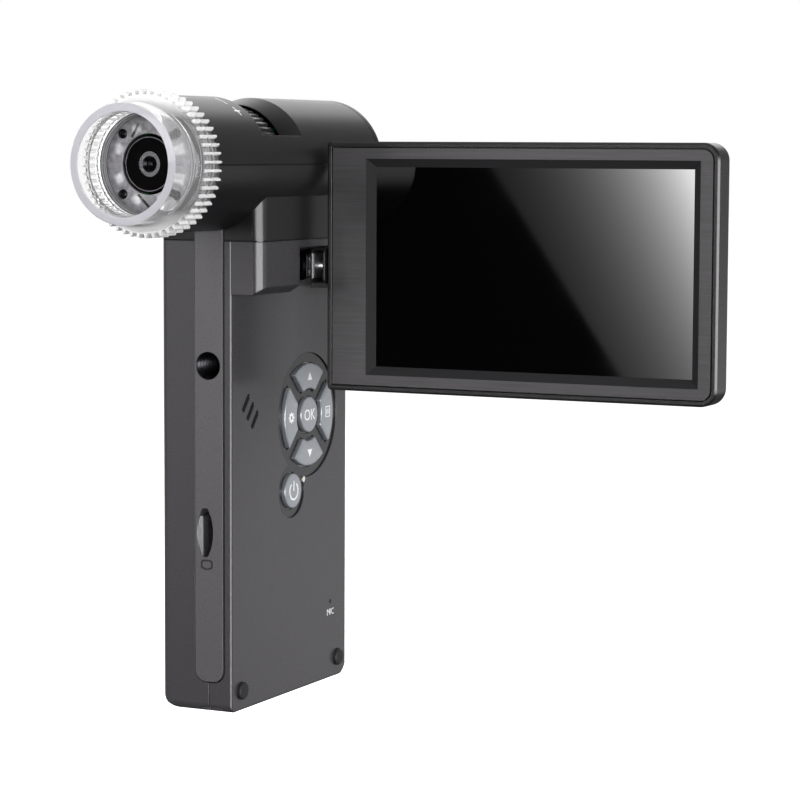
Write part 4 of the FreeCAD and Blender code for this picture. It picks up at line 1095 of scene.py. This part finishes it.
def room():
    """White for the camera and through clear parts, an even light from above for the
    surfaces, and for gloss a dim room with a pale wall behind, a pale ceiling and soft boxes
    all round. The one ahead is dark where the display mirrors it, but for the window."""
    stage = bpy.context.scene.microscope_stage
    world = bpy.data.worlds.new("studio")
    bpy.context.scene.world = world
    world.use_nodes = True
    tree = world.node_tree
    tree.nodes.clear()
    path = add(tree, "LightPath")
    way = add(tree, "TexCoord").outputs["Generated"]
    axes = add(tree, "SeparateXYZ", (way,))
    ahead = add(tree, "Math.MULTIPLY", (axes.outputs["Y"], -1.0))
    angle = add(tree, "Math.ARCTAN2", (axes.outputs["X"], ahead))
    azimuth = add(tree, "Math.DEGREES", (angle,)).outputs[0]
    rise = add(tree, "Math.ARCSINE", (axes.outputs["Z"],))
    height = add(tree, "Math.DEGREES", (rise,)).outputs[0]
    wall = add(tree, "MapRange", (height, *WALL, WALL_FOOT, stage.room_back))
    behind = add(tree, "MapRange", (axes.outputs["Y"], *WALL_SIDES))
    level = add(tree, "Math.MULTIPLY_ADD", (wall, behind, stage.room_front))
    ceiling = add(tree, "MapRange", (height, *CEILING))
    level = add(tree, "Math.MULTIPLY_ADD", (ceiling, stage.ceiling, level))
    for box, strength in ((RIGHT_BOX, stage.right_box), (BACK_BOX, stage.back_box),
                          (SIDE_BOX, stage.side_box), (LEFT_BOX, stage.left_box),
                          (FRONT_BOX, stage.front_box)):
        lit = softbox(tree, azimuth, height, box)
        level = add(tree, "Math.MULTIPLY_ADD", (lit, strength, level))
    hole = softbox(tree, azimuth, height, DARK_PANE)
    lit = add(tree, "Math.SUBTRACT", (1.0, hole))
    level = add(tree, "Math.MULTIPLY", (level, lit))
    pane = add(tree, "Math.MULTIPLY", (glare(tree, way), hole))
    level = add(tree, "Math.MULTIPLY_ADD", (pane, stage.pane_strength, level))
    fill = add(tree, "MapRange", (axes.outputs["Z"], *FILL_TURN, stage.fill_below,
                                  stage.fill_strength))
    even = add(tree, "Background", {"Color": WHITE, "Strength": fill})
    gloss = add(tree, "Background", {"Color": WHITE, "Strength": level})
    white = add(tree, "Background", {"Color": WHITE, "Strength": 1.0})
    inner = add(tree, "Math.GREATER_THAN", (path.outputs["Transmission Depth"], 0.5))
    seen = add(tree, "Math.MAXIMUM", (path.outputs["Is Camera Ray"],
                                      path.outputs["Is Transmission Ray"]))
    seen = add(tree, "Math.MAXIMUM", (seen, inner))
    mixed = add(tree, "MixShader", (seen, gloss, white))
    mixed = add(tree, "MixShader", (path.outputs["Is Diffuse Ray"], mixed, even))
    add(tree, "OutputWorld", {"Surface": mixed})


def floor():
    """A plain white floor: white to the camera apart from the object's soft shadow."""
    size, glow = 6000.0, 0.82
    z = GRIP_LOW[2] - FLOOR_BELOW
    corners = np.array([(-size, -size, z), (size, -size, z), (size, size, z),
                        (-size, size, z)]) * MM
    mesh = bpy.data.meshes.new("floor")
    mesh.from_pydata(corners.tolist(), [], [(0, 1, 2, 3)])
    material, tree = empty_material("white_paper_floor")
    path = add(tree, "LightPath")
    paper = add(tree, "BsdfDiffuse", {"Color": linear("#e8e8e8")})
    white = add(tree, "Emission", {"Color": WHITE, "Strength": glow})
    both = add(tree, "AddShader", (paper, white))
    seen = add(tree, "Math.MAXIMUM", (path.outputs["Is Camera Ray"],
                                      path.outputs["Is Transmission Ray"]))
    mixed = add(tree, "MixShader", (seen, paper, both))
    add(tree, "OutputMaterial", {"Surface": mixed})
    mesh.materials.append(material)
    made = bpy.data.objects.new("floor", mesh)
    bpy.context.scene.collection.objects.link(made)
    made.visible_glossy = False
    made.visible_diffuse = False


def lamps():
    """Large soft lamps ahead, on both sides and behind. Gloss sees the room's boxes instead
    of them."""
    stage = bpy.context.scene.microscope_stage
    target = (10, 20, -10)
    for name, place, size, power in (
            ("right_lamp", (740, 440, 150), (600, 600), stage.right_power),
            ("front_lamp", (-400, -830, 230), (500, 600), stage.front_power),
            ("left_lamp", (-880, 260, 160), (600, 700), stage.left_power),
            ("back_lamp", (-120, 900, 420), (700, 600), stage.back_power)):
        lamp(name, place, target, size, power).visible_glossy = False


# settings

class MicroscopeSizes(bpy.types.PropertyGroup):
    """Sizes of the fine parts that are added to the CAD pieces."""
    thread_pitch: FloatProperty(name="Thread pitch", description="Tripod thread, 20 to the inch",
                                default=1.27 * MM, unit="LENGTH")
    thread_minor: FloatProperty(name="Thread radius", description="Radius at the thread's crests",
                                default=2.56 * MM, unit="LENGTH")
    rib_count: IntProperty(name="Ribs", description="Ribs round the focus wheel", default=52)
    rib_depth: FloatProperty(name="Rib depth", description="Height of a rib above its root",
                             default=0.7 * MM, unit="LENGTH")
    wheel_bore: FloatProperty(name="Wheel bore", description="Radius of the wheel's bore",
                              default=8.05 * MM, unit="LENGTH")
    tooth_count: IntProperty(name="Teeth", description="Teeth round the clear cap", default=52)
    tooth_height: FloatProperty(name="Tooth height", description="Teeth above their ring",
                                default=1.05 * MM, unit="LENGTH")
    key_inner: FloatProperty(name="Key ring inside", description="Inner radius of the ring keys",
                             default=6.2 * MM, unit="LENGTH")
    key_outer: FloatProperty(name="Key ring outside", description="Outer radius of the ring keys",
                             default=12.15 * MM, unit="LENGTH")
    key_channel: FloatProperty(name="Key channel", description="Gap between two ring keys",
                               default=3.5 * MM, unit="LENGTH")
    ok_radius: FloatProperty(name="Middle key", description="Radius of the middle key",
                             default=4.2 * MM, unit="LENGTH")
    power_radius: FloatProperty(name="Power key", description="Radius of the power key",
                                default=4.1 * MM, unit="LENGTH")
    key_round: FloatProperty(name="Key edge", description="Radius of the keys' upper edge",
                             default=0.32 * MM, unit="LENGTH")
    key_dome: FloatProperty(name="Key crown", description="Rise of a key's top to its middle",
                            default=0.08 * MM, unit="LENGTH")


class MicroscopeColours(bpy.types.PropertyGroup):
    """Colours of the moulded and printed finishes."""
    shell: FloatVectorProperty(name="Grip", description="Moulded shells of the grip",
                               default=linear("#3c3a3d")[:3], subtype="COLOR", max=1, min=0)
    trim: FloatVectorProperty(name="Trim", description="Strip down the grip's front",
                              default=linear("#525053")[:3], subtype="COLOR", max=1, min=0)
    barrel: FloatVectorProperty(name="Barrel", description="Lacquer of the barrel",
                                default=linear("#19191b")[:3], subtype="COLOR", max=1, min=0)
    case: FloatVectorProperty(name="Screen case", description="Case round the screen",
                              default=linear("#1f1e20")[:3], subtype="COLOR", max=1, min=0)
    film: FloatVectorProperty(name="Screen front", description="Brushed film of the screen",
                              default=linear("#444244")[:3], subtype="COLOR", max=1, min=0)
    keypad: FloatVectorProperty(name="Keypad", description="Frame round the keys",
                                default=linear("#1f2022")[:3], subtype="COLOR", max=1, min=0)
    keys: FloatVectorProperty(name="Keys", description="Silver paint of the keys",
                              default=linear("#989ca2")[:3], subtype="COLOR", max=1, min=0)
    wheel: FloatVectorProperty(name="Focus wheel", description="Ribbed ring in the window",
                               default=linear("#2c2c2d")[:3], subtype="COLOR", max=1, min=0)
    rubber: FloatVectorProperty(name="Bumpers", description="Rubber feet",
                                default=linear("#2a292b")[:3], subtype="COLOR", max=1, min=0)
    ink: FloatVectorProperty(name="Print", description="White signs",
                             default=linear("#f2f3f4")[:3], subtype="COLOR", max=1, min=0)


class MicroscopeStage(bpy.types.PropertyGroup):
    """Strengths of the studio's lights."""
    fill_strength: FloatProperty(name="Fill", description="Even light from above",
                                 default=0.26)
    fill_below: FloatProperty(name="Fill below", description="Even light from below",
                              default=0.08)
    room_front: FloatProperty(name="Room", description="What gloss sees all round",
                              default=0.05)
    room_back: FloatProperty(name="Wall behind", description="What gloss sees behind",
                             default=0.16)
    back_box: FloatProperty(name="Back box", description="Soft box that gloss sees behind",
                            default=1.5)
    side_box: FloatProperty(name="Side box", description="Low soft box behind on the right",
                            default=0.8)
    left_box: FloatProperty(name="Left box", description="Weak soft box on the left",
                            default=0.45)
    ceiling: FloatProperty(name="Ceiling", description="Pale ceiling that gloss sees",
                           default=0.6)
    right_box: FloatProperty(name="Right box", description="Soft box that gloss sees",
                             default=13.0)
    front_box: FloatProperty(name="Front box", description="Soft box that gloss sees ahead",
                             default=0.8)
    pane_strength: FloatProperty(name="Window", description="Window mirrored in the display",
                                 default=0.5)
    right_power: FloatProperty(name="Right lamp", description="Lamp from the right",
                               default=5.0, unit="POWER")
    front_power: FloatProperty(name="Front lamp", description="Lamp ahead on the left",
                               default=6.8, unit="POWER")
    left_power: FloatProperty(name="Left lamp", description="Lamp behind on the left",
                              default=4.5, unit="POWER")
    back_power: FloatProperty(name="Back lamp", description="Lamp from behind and above",
                              default=4.0, unit="POWER")


# operators

class MICROSCOPE_OT_grip(bpy.types.Operator):
    """Finishes of the grip, its trim and feet, with the case screws and printed marks"""
    bl_idname = "microscope.grip"
    bl_label = "Dress the grip"

    def execute(self, context):
        dress(abs_shell, "left_shell", "right_shell")
        dress(abs_strip, "front_strip")
        dress(rubber, "bumper_feet")
        dress(steel, "usb_socket")
        case_screws()
        grip_marks()
        return {"FINISHED"}


class MICROSCOPE_OT_socket(bpy.types.Operator):
    """The threaded tripod insert"""
    bl_idname = "microscope.socket"
    bl_label = "Cut the tripod thread"

    def execute(self, context):
        tripod_thread()
        return {"FINISHED"}


class MICROSCOPE_OT_card_slot(bpy.types.Operator):
    """The card slot's bright guide and its socket"""
    bl_idname = "microscope.card_slot"
    bl_label = "Fit the card slot"

    def execute(self, context):
        dress(steel, "card_socket")
        card_guide()
        return {"FINISHED"}


class MICROSCOPE_OT_barrel(bpy.types.Operator):
    """Finishes of the barrel, with the focus marks"""
    bl_idname = "microscope.barrel"
    bl_label = "Dress the barrel"

    def execute(self, context):
        dress(abs_barrel, "barrel_base", "barrel_top", "rear_cap")
        focus_marks()
        return {"FINISHED"}


class MICROSCOPE_OT_focus_wheel(bpy.types.Operator):
    """The ribbed focus wheel and the guide it turns on"""
    bl_idname = "microscope.focus_wheel"
    bl_label = "Fit the focus wheel"

    def execute(self, context):
        focus_wheel()
        dress(part_black, "lens_guide")
        return {"FINISHED"}


class MICROSCOPE_OT_lens(bpy.types.Operator):
    """The lens, the frosted lamp plate, its lamps and its screws"""
    bl_idname = "microscope.lens"
    bl_label = "Fit the lens and lamps"

    def execute(self, context):
        dress(lens_black, "lens_barrel")
        dress(lens_metal, "lens_ring")
        dress(coated_glass, "lens_glass")
        dress(cup_rings, "lamp_housing")
        dress(frosted_polycarbonate, "lamp_plate")
        dress(lamp_phosphor, "lamps")
        dress(circuit_board, "lamp_board", "sensor_board")
        plate_screws()
        return {"FINISHED"}


class MICROSCOPE_OT_nose_cap(bpy.types.Operator):
    """The clear toothed distance cap"""
    bl_idname = "microscope.nose_cap"
    bl_label = "Fit the clear cap"

    def execute(self, context):
        nose_cap()
        return {"FINISHED"}


class MICROSCOPE_OT_hinge(bpy.types.Operator):
    """Finishes of the two-way hinge"""
    bl_idname = "microscope.hinge"
    bl_label = "Dress the hinge"

    def execute(self, context):
        dress(black_steel, "hinge_bracket", "fold_pin")
        dress(steel, "hinge_arm", "swivel_shaft")
        dress(abs_black, "hinge_cover")
        dress(acetal, "swivel_bush")
        return {"FINISHED"}


class MICROSCOPE_OT_screen(bpy.types.Operator):
    """Finishes of the screen's case, brushed front and glass"""
    bl_idname = "microscope.screen"
    bl_label = "Dress the screen"

    def execute(self, context):
        dress(abs_black, "screen_back")
        dress(brushed_face, "screen_frame")
        dress(display_glass, "lcd_glass")
        dress(part_black, "lcd_panel")
        dress(circuit_board, "screen_board")
        return {"FINISHED"}


class MICROSCOPE_OT_keypad(bpy.types.Operator):
    """The silver keys with their signs, the frame round them and the status light"""
    bl_idname = "microscope.keypad"
    bl_label = "Fit the keypad"

    def execute(self, context):
        dress(keypad_black, "keypad_frame")
        dress(acetal, "status_light")
        dress(part_black, "key_switches")
        keys()
        key_marks()
        return {"FINISHED"}


class MICROSCOPE_OT_inside(bpy.types.Operator):
    """Finishes of the parts that only the openings show"""
    bl_idname = "microscope.inside"
    bl_label = "Dress the inside"

    def execute(self, context):
        dress(circuit_board, "main_board")
        dress(battery_film, "battery")
        dress(part_black, "speaker", "microphone")
        return {"FINISHED"}


class MICROSCOPE_OT_stage(bpy.types.Operator):
    """The studio: a white floor and room, soft lamps and the photograph's view"""
    bl_idname = "microscope.stage"
    bl_label = "Set the stage"

    def execute(self, context):
        context.scene.view_settings.view_transform = "Standard"
        room()
        floor()
        lamps()
        camera()
        return {"FINISHED"}


PIECES = (MICROSCOPE_OT_grip, MICROSCOPE_OT_socket, MICROSCOPE_OT_card_slot,
          MICROSCOPE_OT_barrel, MICROSCOPE_OT_focus_wheel, MICROSCOPE_OT_lens,
          MICROSCOPE_OT_nose_cap, MICROSCOPE_OT_hinge, MICROSCOPE_OT_screen,
          MICROSCOPE_OT_keypad, MICROSCOPE_OT_inside, MICROSCOPE_OT_stage)


class MICROSCOPE_PT_panel(bpy.types.Panel):
    """The microscope's settings and steps"""
    bl_idname = "MICROSCOPE_PT_panel"
    bl_label = "Microscope"
    bl_space_type = "VIEW_3D"
    bl_region_type = "UI"
    bl_category = "Microscope"

    def draw(self, context):
        column = self.layout.column()
        scene = context.scene
        for group in (scene.microscope_sizes, scene.microscope_colours, scene.microscope_stage):
            for name in group.__annotations__:
                column.prop(group, name)
        for step in PIECES:
            column.operator(step.bl_idname)


CLASSES = (MicroscopeSizes, MicroscopeColours, MicroscopeStage) + PIECES + (MICROSCOPE_PT_panel,)


def register():
    for made in CLASSES:
        bpy.utils.register_class(made)
    bpy.types.Scene.microscope_sizes = PointerProperty(type=MicroscopeSizes)
    bpy.types.Scene.microscope_colours = PointerProperty(type=MicroscopeColours)
    bpy.types.Scene.microscope_stage = PointerProperty(type=MicroscopeStage)


def unregister():
    del bpy.types.Scene.microscope_sizes
    del bpy.types.Scene.microscope_colours
    del bpy.types.Scene.microscope_stage
    for made in reversed(CLASSES):
        bpy.utils.unregister_class(made)


def main():
    register()
    for step in PIECES:
        group, name = step.bl_idname.split(".")
        getattr(getattr(bpy.ops, group), name)()


if __name__ == "__main__":
    main()
